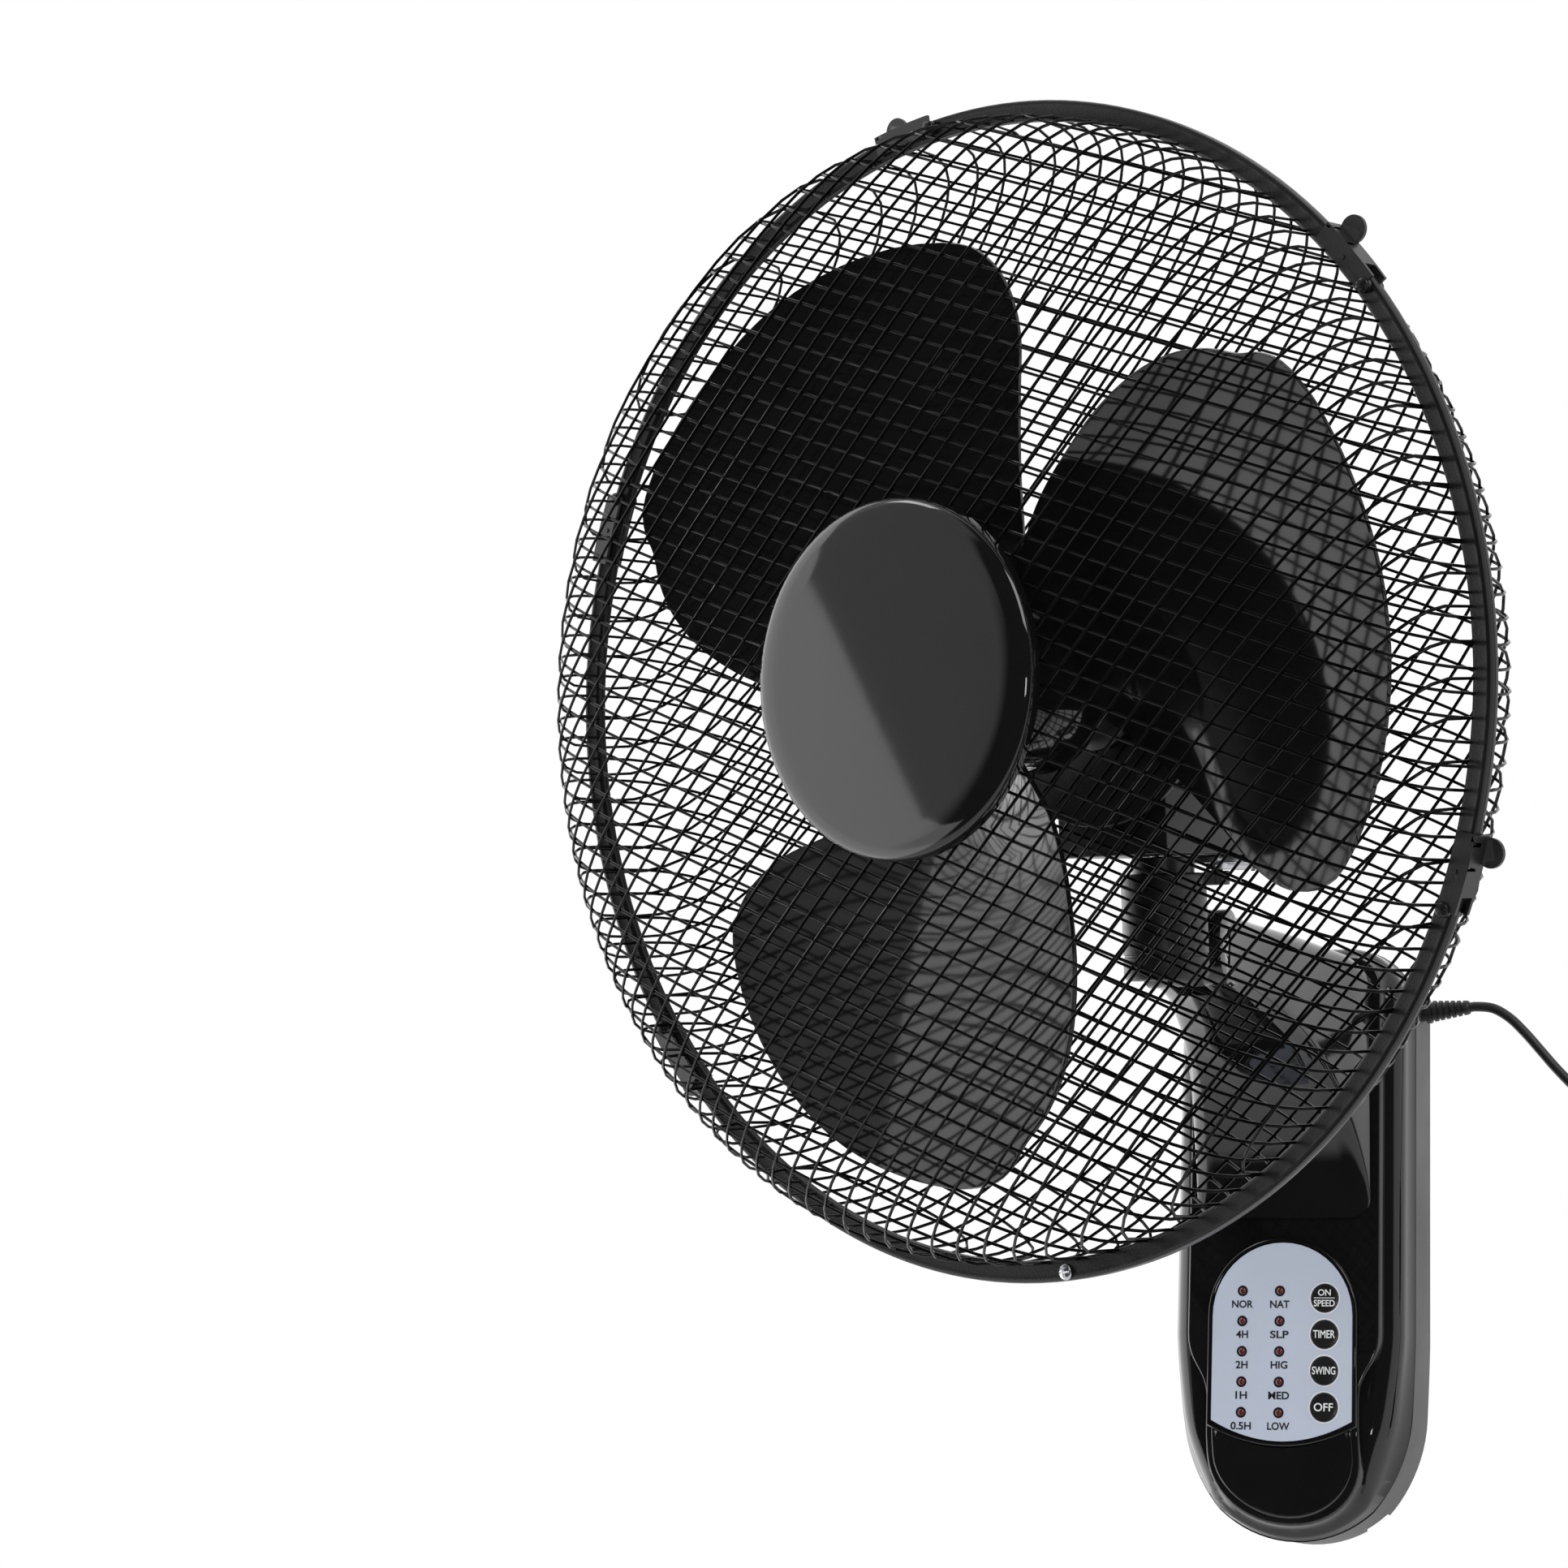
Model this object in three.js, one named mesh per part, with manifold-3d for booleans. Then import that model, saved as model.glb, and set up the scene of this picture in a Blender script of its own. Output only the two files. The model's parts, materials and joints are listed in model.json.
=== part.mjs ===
// Wall mounted fan, millimetres, +Z up. The origin is on the wall plane, at the middle of the back plate.
// The fan faces -Y. The head stands swung to one side and tipped down.
import * as THREE from 'three';
import { mergeVertices } from 'three/addons/utils/BufferGeometryUtils.js';
import Module from 'manifold-3d';

const wasm = await Module();
wasm.setup();

// ---- Driving dimensions ----
const GAP = 0.3; // between pieces that rest on or fit in each other
const RUNNING_GAP = 0.6; // between pieces that move past each other

const BASE_WIDTH = 106;
const BASE_HEIGHT = 257;
const BASE_CORNER = 28; // radius of the two top corners
const BACK_DEPTH = 30;
const FLANK_DEPTH = 53; // wall to the front shell's flank
const FACE_RISE = 4.5; // raised front face above the flank
const FACE_DEPTH = FLANK_DEPTH + FACE_RISE;
const SHELL_WALL = 2.6;
const FACE_WIDTH = 84; // raised face above the panel
const TONGUE_WIDTH = 62; // raised face at and below the panel
const TONGUE_NECK_HEIGHT = -44; // where the raised face starts to narrow
const TONGUE_START_HEIGHT = -70; // where it has its narrow width
const KEYHOLE_INSET = 42.5; // from the base's top and foot to its keyholes
const KEYHOLE_HEIGHT = BASE_HEIGHT / 2 - KEYHOLE_INSET;
const LOWER_SLOT_HEIGHT = -KEYHOLE_HEIGHT;
const KEYHOLE_RADIUS = 5;
const KEYHOLE_SLOT = 4.4; // slot width, for a 4 mm screw shank

const PANEL_TOP = -4.5;
const PANEL_BOTTOM = -79.5;
const PANEL_CROWN = 8.5; // how far the panel's lower edge bows down
const OVERLAY_THICKNESS = 0.9;
const BEZEL_WIDTH = 2.2;
const BEZEL_HEIGHT = 1.4;
const LED_TOP = -25.1;
const LED_PITCH = 12.77;
const LED_ROWS = 5;
const LED_COLUMNS = [-17.6, -1];
const LED_RADIUS = 1.6;
const BUTTON_NAMES = ['speed_button', 'timer_button', 'swing_button', 'off_button'];
const BUTTON_X = 18.9;
const BUTTON_TOP = -28.1;
const BUTTON_PITCH = 15.2;
const BUTTON_RADIUS = 6.1;
const BUTTON_PROUD = 1.2;
const BUTTON_TRAVEL = 0.8;
const SWITCH_HEIGHT = 3.6; // of the switch behind each button
const BOARD_WIDTH = 58;
const BOARD_TOP = -12;
const BOARD_FOOT = -84;
const BOARD_THICKNESS = 1.6;
const RELAY_LEFT = -22;
const RELAY_FOOT = -70;
const RELAY_WIDTH = 14;
const RELAY_HEIGHT = 18;
const TRIAC_LEFT = 6;
const TRIAC_FOOT = -40;
const TRIAC_WIDTH = 10;
const TRIAC_HEIGHT = 12;

const PIVOT_REACH = 208; // wall to the tilt pivot
const PIVOT_HEIGHT = 94;
const FORK_RADIUS = 15.5;
const FORK_WIDTH = 34;
const LUG_WIDTH = 14;
const TILT_BOLT_RADIUS = 4;
const BOLT_SINK = 4; // depth of the bolt head's and nut's recesses in the fork
const NECK_OFFSET = 33.5; // tilt pivot to the neck's axis
const NECK_RADIUS = 17;
const NECK_BOTTOM = -12;
const NECK_SHOULDER = 30;
const NECK_COLLAR_RADIUS = 12.5;
const MOTOR_HEIGHT = 102; // tilt pivot to the motor's axis
const TILT_REST = 12;
const SWING_REST = -21;

const SWING_PIN_RADIUS = 5;
const SWING_BUSH_WALL = 2.7;
const SADDLE_BOTTOM = 65; // motor axis down to the saddle's underside
const SADDLE_WIDTH = 54;
const SADDLE_TOP = 38; // motor axis down to the saddle's top
const SADDLE_FRONT = 32; // swing axis forward to the saddle's front
const SADDLE_BACK = 61;
const SWING_MOTOR_RADIUS = 21;
const CRANK_BACK = 38; // swing axis to the crank's axis
const CRANK_THROW = 14;
const CRANK_PIN_RADIUS = 1.8;
const ANCHOR_RADIUS = 22; // swing axis to the link's fixed pin
const ANCHOR_ANGLE = 30;
const LINK_LENGTH = 33.1;
const CRANK_AT_CENTRE = 21.7; // crank angle with the head straight ahead
const CRANK_RATIO = 1.52;
const LINK_AT_CENTRE = 102.7;
const LINK_RATIO = 1.1;

const MOTOR_RADIUS = 47;
const MOTOR_FRONT = 37; // swing axis forward to the motor's face
const MOTOR_BACK = 65;
const MOTOR_WALL = 2.5;
const MOTOR_COLLAR_RADIUS = 12; // through the rear guard, for its nut
const GUARD_NUT_RADIUS = 24;
const GUARD_NUT_GRIP = 20;
const SHAFT_RADIUS = 4;
const BEARING_RADIUS = 8;
const BEARING_WIDTH = 8;
const STATOR_BORE = 26;
const STATOR_HALF = 17;
const WINDING_THICKNESS = 12;
const WINDING_REACH = 12; // how far each winding stands out of the stator

const RING_REACH = 100; // swing axis forward to the joint of the two guards
const RING_RADIUS = 222.5;
const RIM_WIDTH = 8;
const RIM_DEPTH = 2.8;
const DOME_MARGIN = 7.4; // from the ring's edge in to where the wires bend
const FRONT_DOME = 51;
const REAR_DOME = 59.4;
const WIRE_RADIUS = 1;
const WIRE_ANGLES = [-20, 44]; // of the two families, from the head's own horizontal
const WIRE_PITCHES = [51, 85]; // from wire to wire in each family
const FRONT_DISC_RADIUS = 60;
const REAR_PLATE_RADIUS = 54;
const HUB_PLATE_RADIUS = 67;
const HUB_PLATE_HEIGHT = 7;
const HUB_CROWN_RADIUS = 38; // where the crowned top bends down
const HUB_BOSS_RADIUS = 12;
const RING_SCREW_ANGLE = -82.7;
const FASTENER_FIRST = -84.5; // the clips follow it every sixth of a turn
const FASTENERS = 6;
const CLIP_ARC = 8.3; // degrees from the clip's pivot to its tab

const BLADES = 3;
const BLADE_TIP = 187.5;
const BLADE_THICKNESS = 2;
const BLADE_BACK = 12.5; // root's middle behind the guards' joint
const BLADE_RISE = 0.364; // mm forward for each degree round
const BLADE_CAMBER = 0.001; // mm forward for each square degree, so that the face is hollow
const BLADE_CONE = 0.198; // mm forward for each mm outward from CONE_START
const CONE_START = 60;
const HUB_BACK = 28; // behind the guards' joint
const HUB_FRONT = 28; // in front of it
const BLADE_HUB_RADIUS = 34;
const BLADE_ROOT = 26;
const ROTOR_REST = 9;

const CORD_RADIUS = 2.2;
const CORD_TURN_PITCH = 5;
const COIL_TURNS = 3.75; // in each of its two layers
const COIL_OUTER = 34;
const GLAND_LENGTH = 20;
const GLAND_RADIUS = 5;
const GLAND_ANGLE = 5; // up from level, round the base's top corner
const CORD_Y = -13;

// ---- Shared geometry ----
const rad = THREE.MathUtils.degToRad;
const SEGMENTS = 18; // round a turned piece
const FINE_SEGMENTS = 22; // round a large one
const SMALL_SEGMENTS = 8; // round a screw or a small hole

function solid(geometry) {
  const bare = geometry.clone();
  bare.deleteAttribute('normal');
  bare.deleteAttribute('uv');
  const merged = mergeVertices(bare, 1e-5);
  const index = merged.index ? merged.index.array : [...Array(merged.attributes.position.count).keys()];
  return new wasm.Manifold(new wasm.Mesh({
    numProp: 3,
    vertProperties: new Float32Array(merged.attributes.position.array),
    triVerts: new Uint32Array(index),
  }));
}

function geometryOf(manifold) {
  const mesh = manifold.getMesh();
  const geometry = new THREE.BufferGeometry();
  geometry.setAttribute('position', new THREE.BufferAttribute(mesh.vertProperties, 3));
  geometry.setIndex(new THREE.BufferAttribute(mesh.triVerts, 1));
  geometry.computeVertexNormals();
  return geometry;
}

const joined = (pieces) => pieces.reduce((sum, piece) => sum.add(piece));
const cut = (body, holes) => holes.reduce((rest, hole) => rest.subtract(hole), body);

function boxSolid(x, y, z) {
  const geometry = new THREE.BoxGeometry(x[1] - x[0], y[1] - y[0], z[1] - z[0]);
  geometry.translate((x[0] + x[1]) / 2, (y[0] + y[1]) / 2, (z[0] + z[1]) / 2);
  return solid(geometry);
}

function rodSolid(axis, radius, from, to, [a, b] = [0, 0], segments = SEGMENTS) {
  const geometry = new THREE.CylinderGeometry(radius, radius, to - from, segments);
  const middle = (from + to) / 2;
  if (axis === 'x') geometry.rotateZ(-Math.PI / 2).translate(middle, a, b);
  if (axis === 'y') geometry.translate(a, middle, b);
  if (axis === 'z') geometry.rotateX(Math.PI / 2).translate(a, b, middle);
  return solid(geometry);
}

// A ring or cup turned round the Y axis from a closed outline of [radius, y] points.
function turned(outline, segments = SEGMENTS) {
  const onAxis = outline[0][0] === 0;
  const points = (onAxis ? outline : [...outline, outline[0]]).map(([r, y]) => new THREE.Vector2(r, y));
  const body = solid(new THREE.LatheGeometry(points, segments));
  if (body.volume() > 0) return body;
  return solid(new THREE.LatheGeometry(points.reverse(), segments));
}

// Skin over closed sections that all have the same number of points, with flat ends.
function loft(sections) {
  const count = sections[0].length;
  const positions = sections.flat().flatMap((p) => [p.x, p.y, p.z]);
  const index = [];
  for (let s = 0; s < sections.length - 1; s += 1) {
    for (let i = 0; i < count; i += 1) {
      const j = (i + 1) % count;
      const a = s * count + i;
      const b = s * count + j;
      index.push(a, b, b + count, a, b + count, a + count);
    }
  }
  const flat = (section) => {
    const u = section[1].clone().sub(section[0]).normalize();
    const normal = new THREE.Vector3();
    section.forEach((p, i) => normal.add(p.clone().cross(section[(i + 1) % count])));
    normal.normalize();
    const v = normal.clone().cross(u);
    return section.map((p) => new THREE.Vector2(p.dot(u), p.dot(v)));
  };
  const last = (sections.length - 1) * count;
  for (const [a, b, c] of THREE.ShapeUtils.triangulateShape(flat(sections[0]), [])) index.push(a, c, b);
  for (const [a, b, c] of THREE.ShapeUtils.triangulateShape(flat(sections.at(-1)), [])) {
    index.push(last + a, last + b, last + c);
  }
  const geometry = new THREE.BufferGeometry();
  geometry.setAttribute('position', new THREE.Float32BufferAttribute(positions, 3));
  geometry.setIndex(index);
  const body = solid(geometry);
  if (body.volume() > 0) return body;
  for (let i = 0; i < index.length; i += 3) [index[i], index[i + 1]] = [index[i + 1], index[i]];
  geometry.setIndex(index);
  return solid(geometry);
}

// A shape drawn as seen from the front, pushed back from y = front to y = back.
function slab(shape, front, back, curveSegments = 4) {
  const depth = back - front;
  const geometry = new THREE.ExtrudeGeometry(shape, { depth, bevelEnabled: false, curveSegments });
  geometry.rotateX(Math.PI / 2).translate(0, back, 0);
  return solid(geometry);
}

function named(name, body, look, parent) {
  const material = new THREE.MeshStandardMaterial({ color: look[0], roughness: look[1], metalness: look[2] });
  const mesh = new THREE.Mesh(body.isBufferGeometry ? body : geometryOf(body), material);
  mesh.name = name;
  parent.add(mesh);
  return mesh;
}

const GLOSS_BLACK = [0x0b0b0d, 0.12, 0];
const SATIN_BLACK = [0x17181b, 0.4, 0];
const DARK_GREY = [0x2b2d31, 0.5, 0];
const WIRE_BLACK = [0x141416, 0.35, 0.3];
const SILVER = [0xaab4c6, 0.35, 0.2];
const LED_RED = [0x6a1214, 0.2, 0];
const BUTTON_BLACK = [0x111113, 0.4, 0];
const STEEL = [0xb8bbc0, 0.3, 1];
const COPPER = [0xb0683a, 0.4, 1];
const LAMINATION = [0x5a5c60, 0.5, 0.9];
const BOARD_GREEN = [0x1f5a38, 0.5, 0];
const BRASS = [0xb59a4e, 0.4, 1];
const CORD_BLACK = [0x0f0f10, 0.55, 0];

// ---- Base on the wall ----
const HALF_WIDTH = BASE_WIDTH / 2;
const HALF_HEIGHT = BASE_HEIGHT / 2;

// The base's outline, drawn in by inset: straight sides, two top corners and a half round foot.
function baseOutline(inset, y) {
  const w = HALF_WIDTH - inset;
  const top = HALF_HEIGHT - inset;
  const corner = Math.max(BASE_CORNER - inset, 4);
  const footTop = -HALF_HEIGHT + HALF_WIDTH * 1.02;
  const footDrop = HALF_WIDTH * 1.02 - inset;
  const points = [];
  for (let i = 0; i <= 12; i += 1) {
    const a = Math.PI + (Math.PI * i) / 12;
    points.push(new THREE.Vector3(w * Math.cos(a), y, footTop + footDrop * Math.sin(a)));
  }
  for (let i = 0; i <= 4; i += 1) {
    const a = (Math.PI / 2) * (i / 4);
    const z = top - corner + corner * Math.sin(a);
    points.push(new THREE.Vector3(w - corner + corner * Math.cos(a), y, z));
  }
  for (let i = 0; i <= 4; i += 1) {
    const a = (Math.PI / 2) * (1 + i / 4);
    const z = top - corner + corner * Math.sin(a);
    points.push(new THREE.Vector3(-w + corner + corner * Math.cos(a), y, z));
  }
  return points;
}

// The raised face: wide above, drawn in to the tongue that holds the panel and the receiver window.
function raisedShape(inset) {
  const wide = FACE_WIDTH / 2 - inset;
  const narrow = TONGUE_WIDTH / 2 + BEZEL_WIDTH - inset;
  const top = HALF_HEIGHT - 9 - inset;
  const foot = -HALF_HEIGHT + 7 + inset;
  const shape = new THREE.Shape();
  shape.moveTo(-wide, TONGUE_NECK_HEIGHT);
  const [bendTop, bendFoot] = [TONGUE_NECK_HEIGHT - 14, TONGUE_START_HEIGHT + 10];
  const straightFoot = TONGUE_START_HEIGHT - 24;
  shape.bezierCurveTo(-wide, bendTop, -narrow, bendFoot, -narrow, TONGUE_START_HEIGHT);
  shape.lineTo(-narrow, straightFoot);
  shape.bezierCurveTo(-narrow, foot + 14, -narrow * 0.6, foot, 0, foot);
  shape.bezierCurveTo(narrow * 0.6, foot, narrow, foot + 14, narrow, straightFoot);
  shape.lineTo(narrow, TONGUE_START_HEIGHT);
  shape.bezierCurveTo(narrow, bendFoot, wide, bendTop, wide, TONGUE_NECK_HEIGHT);
  shape.lineTo(wide, top - 16);
  shape.absarc(wide - 16, top - 16, 16, 0, Math.PI / 2);
  shape.absarc(-wide + 16, top - 16, 16, Math.PI / 2, Math.PI);
  shape.closePath();
  return shape;
}

// The panel's outline: a round arch above and a lower edge that bows down.
function panelShape(grow) {
  const w = TONGUE_WIDTH / 2 + grow;
  const archCentre = PANEL_TOP - TONGUE_WIDTH / 2;
  const shape = new THREE.Shape();
  shape.moveTo(-w, PANEL_BOTTOM - grow);
  shape.quadraticCurveTo(0, PANEL_BOTTOM - 2 * PANEL_CROWN - grow, w, PANEL_BOTTOM - grow);
  shape.absarc(0, archCentre, w, 0, Math.PI);
  shape.closePath();
  return shape;
}

// The receiver window's outline, under the panel, down to the foot.
function windowShape(inset) {
  const w = TONGUE_WIDTH / 2 - inset;
  const top = PANEL_BOTTOM - BEZEL_WIDTH - inset;
  const foot = -HALF_HEIGHT + 9.5 + inset;
  const shape = new THREE.Shape();
  shape.moveTo(w, top);
  shape.quadraticCurveTo(0, top - 2 * PANEL_CROWN, -w, top);
  shape.lineTo(-w, top - 12);
  shape.bezierCurveTo(-w, foot + 12, -w * 0.55, foot, 0, foot);
  shape.bezierCurveTo(w * 0.55, foot, w, foot + 12, w, top - 12);
  shape.closePath();
  return shape;
}

const SCREW_TOP_INSET = 16.5;
const SCREW_FOOT_INSET = 54.5;
const SCREW_SPACING = 76;
const SHELL_SCREWS = [[0, BASE_HEIGHT / 2 - SCREW_TOP_INSET],
  ...[-1, 1].map((side) => [(side * SCREW_SPACING) / 2, SCREW_FOOT_INSET - BASE_HEIGHT / 2])];
const ARM_SCREWS = [[-31, 70], [31, 70]];
const SCREW_RADIUS = 1.7;
const SCREW_HEAD_RADIUS = 3.6;
const SCREW_SINK = 8; // floor of a head's well, behind the back plate's front edge
const BOSS_RADIUS = 5;
const CAPACITOR_RADIUS = 11;
const CAPACITOR_AT = [-24, -BACK_DEPTH / 2 - 2];
const OVERLAY_BACK = -FACE_DEPTH + OVERLAY_THICKNESS;
const buttonPlaces = BUTTON_NAMES.map((name, i) => [BUTTON_X, BUTTON_TOP - i * BUTTON_PITCH]);
const ledPlaces = LED_COLUMNS.flatMap((x) => (
  [...Array(LED_ROWS).keys()].map((i) => [x, LED_TOP - i * LED_PITCH])));

function keyhole(height) {
  const slot = KEYHOLE_SLOT / 2;
  const deep = [-SHELL_WALL - 1, 1];
  return rodSolid('y', KEYHOLE_RADIUS, deep[0], deep[1], [0, height])
    .add(rodSolid('y', slot, deep[0], deep[1], [0, height + 2 * KEYHOLE_RADIUS], 16))
    .add(boxSolid([-slot, slot], deep, [height, height + 2 * KEYHOLE_RADIUS]));
}

// Places a piece made along +X from the middle of the top corner's arc, where the cord comes out.
const cornerCentre = [HALF_WIDTH - BASE_CORNER, 0, HALF_HEIGHT - BASE_CORNER];
const atCorner = (piece) => piece.rotate([0, -GLAND_ANGLE, 0]).translate(cornerCentre);
function fromCorner(distance) {
  const [x, , z] = cornerCentre;
  return [x + distance * Math.cos(rad(GLAND_ANGLE)), CORD_Y, z + distance * Math.sin(rad(GLAND_ANGLE))];
}

function backPlate() {
  const outer = loft([baseOutline(0, 0), baseOutline(1, -BACK_DEPTH)]);
  const inner = loft([baseOutline(SHELL_WALL, -SHELL_WALL), baseOutline(SHELL_WALL + 1, -BACK_DEPTH - 1)]);
  const bosses = SHELL_SCREWS.map((at) => (
    rodSolid('y', BOSS_RADIUS, -BACK_DEPTH, -SHELL_WALL + 0.5, at, SMALL_SEGMENTS)));
  const bores = SHELL_SCREWS.flatMap((at) => [
    rodSolid('y', SCREW_RADIUS + GAP, -BACK_DEPTH - 1, 1, at, SMALL_SEGMENTS),
    rodSolid('y', SCREW_HEAD_RADIUS + GAP, -BACK_DEPTH + SCREW_SINK, 1, at, SMALL_SEGMENTS),
  ]);
  const glandBore = atCorner(
    rodSolid('x', GLAND_RADIUS - 1 + GAP, BASE_CORNER - 12, BASE_CORNER + 2, [CORD_Y, 0], 16));
  const cradle = boxSolid([-36, -12], [CAPACITOR_AT[1], -SHELL_WALL + 0.5], [-16, 20])
    .subtract(rodSolid('z', CAPACITOR_RADIUS + GAP, -40, 40, CAPACITOR_AT, 24));
  const notch = boxSolid([24, 34], [-4, 1], [-HALF_HEIGHT, -HALF_HEIGHT + 20]);
  return cut(joined([cut(outer, [inner]), ...bosses, cradle]), [...bores, keyhole(KEYHOLE_HEIGHT),
    keyhole(LOWER_SLOT_HEIGHT), glandBore, notch]);
}

function frontShell() {
  const flank = [[1, BACK_DEPTH + GAP], [2.5, 42], [6, 49.5], [12.5, FLANK_DEPTH]];
  const outer = loft(flank.map(([inset, depth]) => baseOutline(inset, -depth)))
    .add(slab(raisedShape(0), -FACE_DEPTH, -FLANK_DEPTH + 6));
  const hollow = loft([baseOutline(1 + SHELL_WALL, -BACK_DEPTH + 1), baseOutline(2 + SHELL_WALL, -40),
    baseOutline(8 + SHELL_WALL, -FLANK_DEPTH + SHELL_WALL)])
    .add(slab(raisedShape(SHELL_WALL), -FACE_DEPTH + SHELL_WALL, -FLANK_DEPTH + 5));
  const seat = slab(panelShape(GAP), -FACE_DEPTH - 1, OVERLAY_BACK + GAP);
  const windowHole = slab(windowShape(-GAP), -FACE_DEPTH - 1, -FLANK_DEPTH + 6);
  const bosses = SHELL_SCREWS.map((at) => (
    rodSolid('y', BOSS_RADIUS, -FACE_DEPTH + 1, -BACK_DEPTH - GAP, at, SMALL_SEGMENTS).intersect(outer)));
  const bores = SHELL_SCREWS.map((at) => (
    rodSolid('y', SCREW_RADIUS + GAP, -FLANK_DEPTH + 7, 0, at, SMALL_SEGMENTS)));
  const armBores = ARM_SCREWS.map((at) => (
    rodSolid('y', SCREW_RADIUS + GAP, -FACE_DEPTH - 1, -FACE_DEPTH + 8, at, SMALL_SEGMENTS)));
  const wireway = rodSolid('y', 9, -FACE_DEPTH - 1, -FACE_DEPTH + 8, [0, 92], 20);
  const buttonHoles = buttonPlaces.map((at) => (
    rodSolid('y', BUTTON_RADIUS + 0.4, -FACE_DEPTH - 1, -FLANK_DEPTH + 8, at, 12)));
  const ledSlots = LED_COLUMNS.map((x) => boxSolid([x - LED_RADIUS - 1, x + LED_RADIUS + 1],
    [-FACE_DEPTH - 1, -FLANK_DEPTH + 8], [LED_TOP - LED_PITCH * (LED_ROWS - 1) - 3, LED_TOP + 3]));
  return cut(joined([cut(outer, [hollow]), ...bosses]), [seat, windowHole, ...bores, ...armBores, wireway,
    ...buttonHoles, ...ledSlots]);
}

// ---- Arm ----
// Half width, top and bottom of the arm at each distance from the wall.
const ARM_SECTIONS = [
  [FACE_DEPTH + GAP, 39, 116, 6],
  [64, 38, 117, 20],
  [76, 36, 118, 36],
  [94, 32.5, 117.5, 52],
  [118, 28.5, 116.5, 65],
  [146, 24.5, 114.5, 72.5],
  [176, 20, 112, 77],
  [PIVOT_REACH, FORK_WIDTH / 2, PIVOT_HEIGHT + FORK_RADIUS, PIVOT_HEIGHT - FORK_RADIUS],
];

function armSection([reach, halfWidth, top, bottom], inset) {
  const w = halfWidth - inset;
  const high = top - inset;
  const low = bottom + inset;
  const corner = Math.max(Math.min(9, w * 0.4) - inset, 1.5);
  const corners = [[w, high, 0], [-w, high, 1], [-w, low, 2], [w, low, 3]];
  return corners.flatMap(([x, z, quarter]) => [0, 1, 2].map((i) => {
    const a = (Math.PI / 2) * (quarter + i / 2);
    const cx = x - Math.sign(x) * corner;
    const cz = z - (quarter < 2 ? corner : -corner);
    return new THREE.Vector3(cx + corner * Math.cos(a), -reach, cz + corner * Math.sin(a));
  }));
}

function armBody() {
  const skin = loft(ARM_SECTIONS.map((section) => armSection(section, 0)));
  const hollow = loft(ARM_SECTIONS.slice(0, 7).map((section, i) => {
    const [reach, ...rest] = section;
    return armSection([i === 0 ? reach - 1 : reach, ...rest], SHELL_WALL + 0.6);
  }));
  const tip = rodSolid('x', FORK_RADIUS, -FORK_WIDTH / 2, FORK_WIDTH / 2, [-PIVOT_REACH, PIVOT_HEIGHT]);
  const bosses = ARM_SCREWS.map((at) => (
    rodSolid('y', BOSS_RADIUS, -FACE_DEPTH - 18, -FACE_DEPTH - GAP, at, SMALL_SEGMENTS).intersect(skin)));
  const slotHalf = LUG_WIDTH / 2 + GAP;
  const slot = boxSolid([-slotHalf, slotHalf], [-PIVOT_REACH - FORK_RADIUS - 1, -PIVOT_REACH + FORK_RADIUS],
    [PIVOT_HEIGHT - 30, PIVOT_HEIGHT + 30]);
  const pivot = [-PIVOT_REACH, PIVOT_HEIGHT];
  const boltHole = rodSolid('x', TILT_BOLT_RADIUS + GAP, -FORK_WIDTH, FORK_WIDTH, pivot, 12);
  const sinkAt = FORK_WIDTH / 2 - BOLT_SINK;
  const sinks = [[-FORK_WIDTH, -sinkAt], [sinkAt, FORK_WIDTH]].map(([from, to]) => (
    rodSolid('x', 7.6, from, to, pivot, 12)));
  const bores = ARM_SCREWS.map((at) => (
    rodSolid('y', SCREW_RADIUS + GAP, -FACE_DEPTH - 15, 0, at, SMALL_SEGMENTS)));
  return cut(joined([cut(skin, [hollow]), ...bosses, tip]), [slot, boltHole, ...sinks, ...bores]);
}

// A screw along Y: its head between two depths, and its shank from the head to the tip.
function screw(at, headBack, headFront, tip) {
  const [low, high] = [Math.min(headBack, headFront), Math.max(headBack, headFront)];
  return rodSolid('y', SCREW_HEAD_RADIUS, low, high, at, SMALL_SEGMENTS)
    .add(rodSolid('y', SCREW_RADIUS, Math.min(tip, high), Math.max(tip, high), at, SMALL_SEGMENTS));
}

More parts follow.
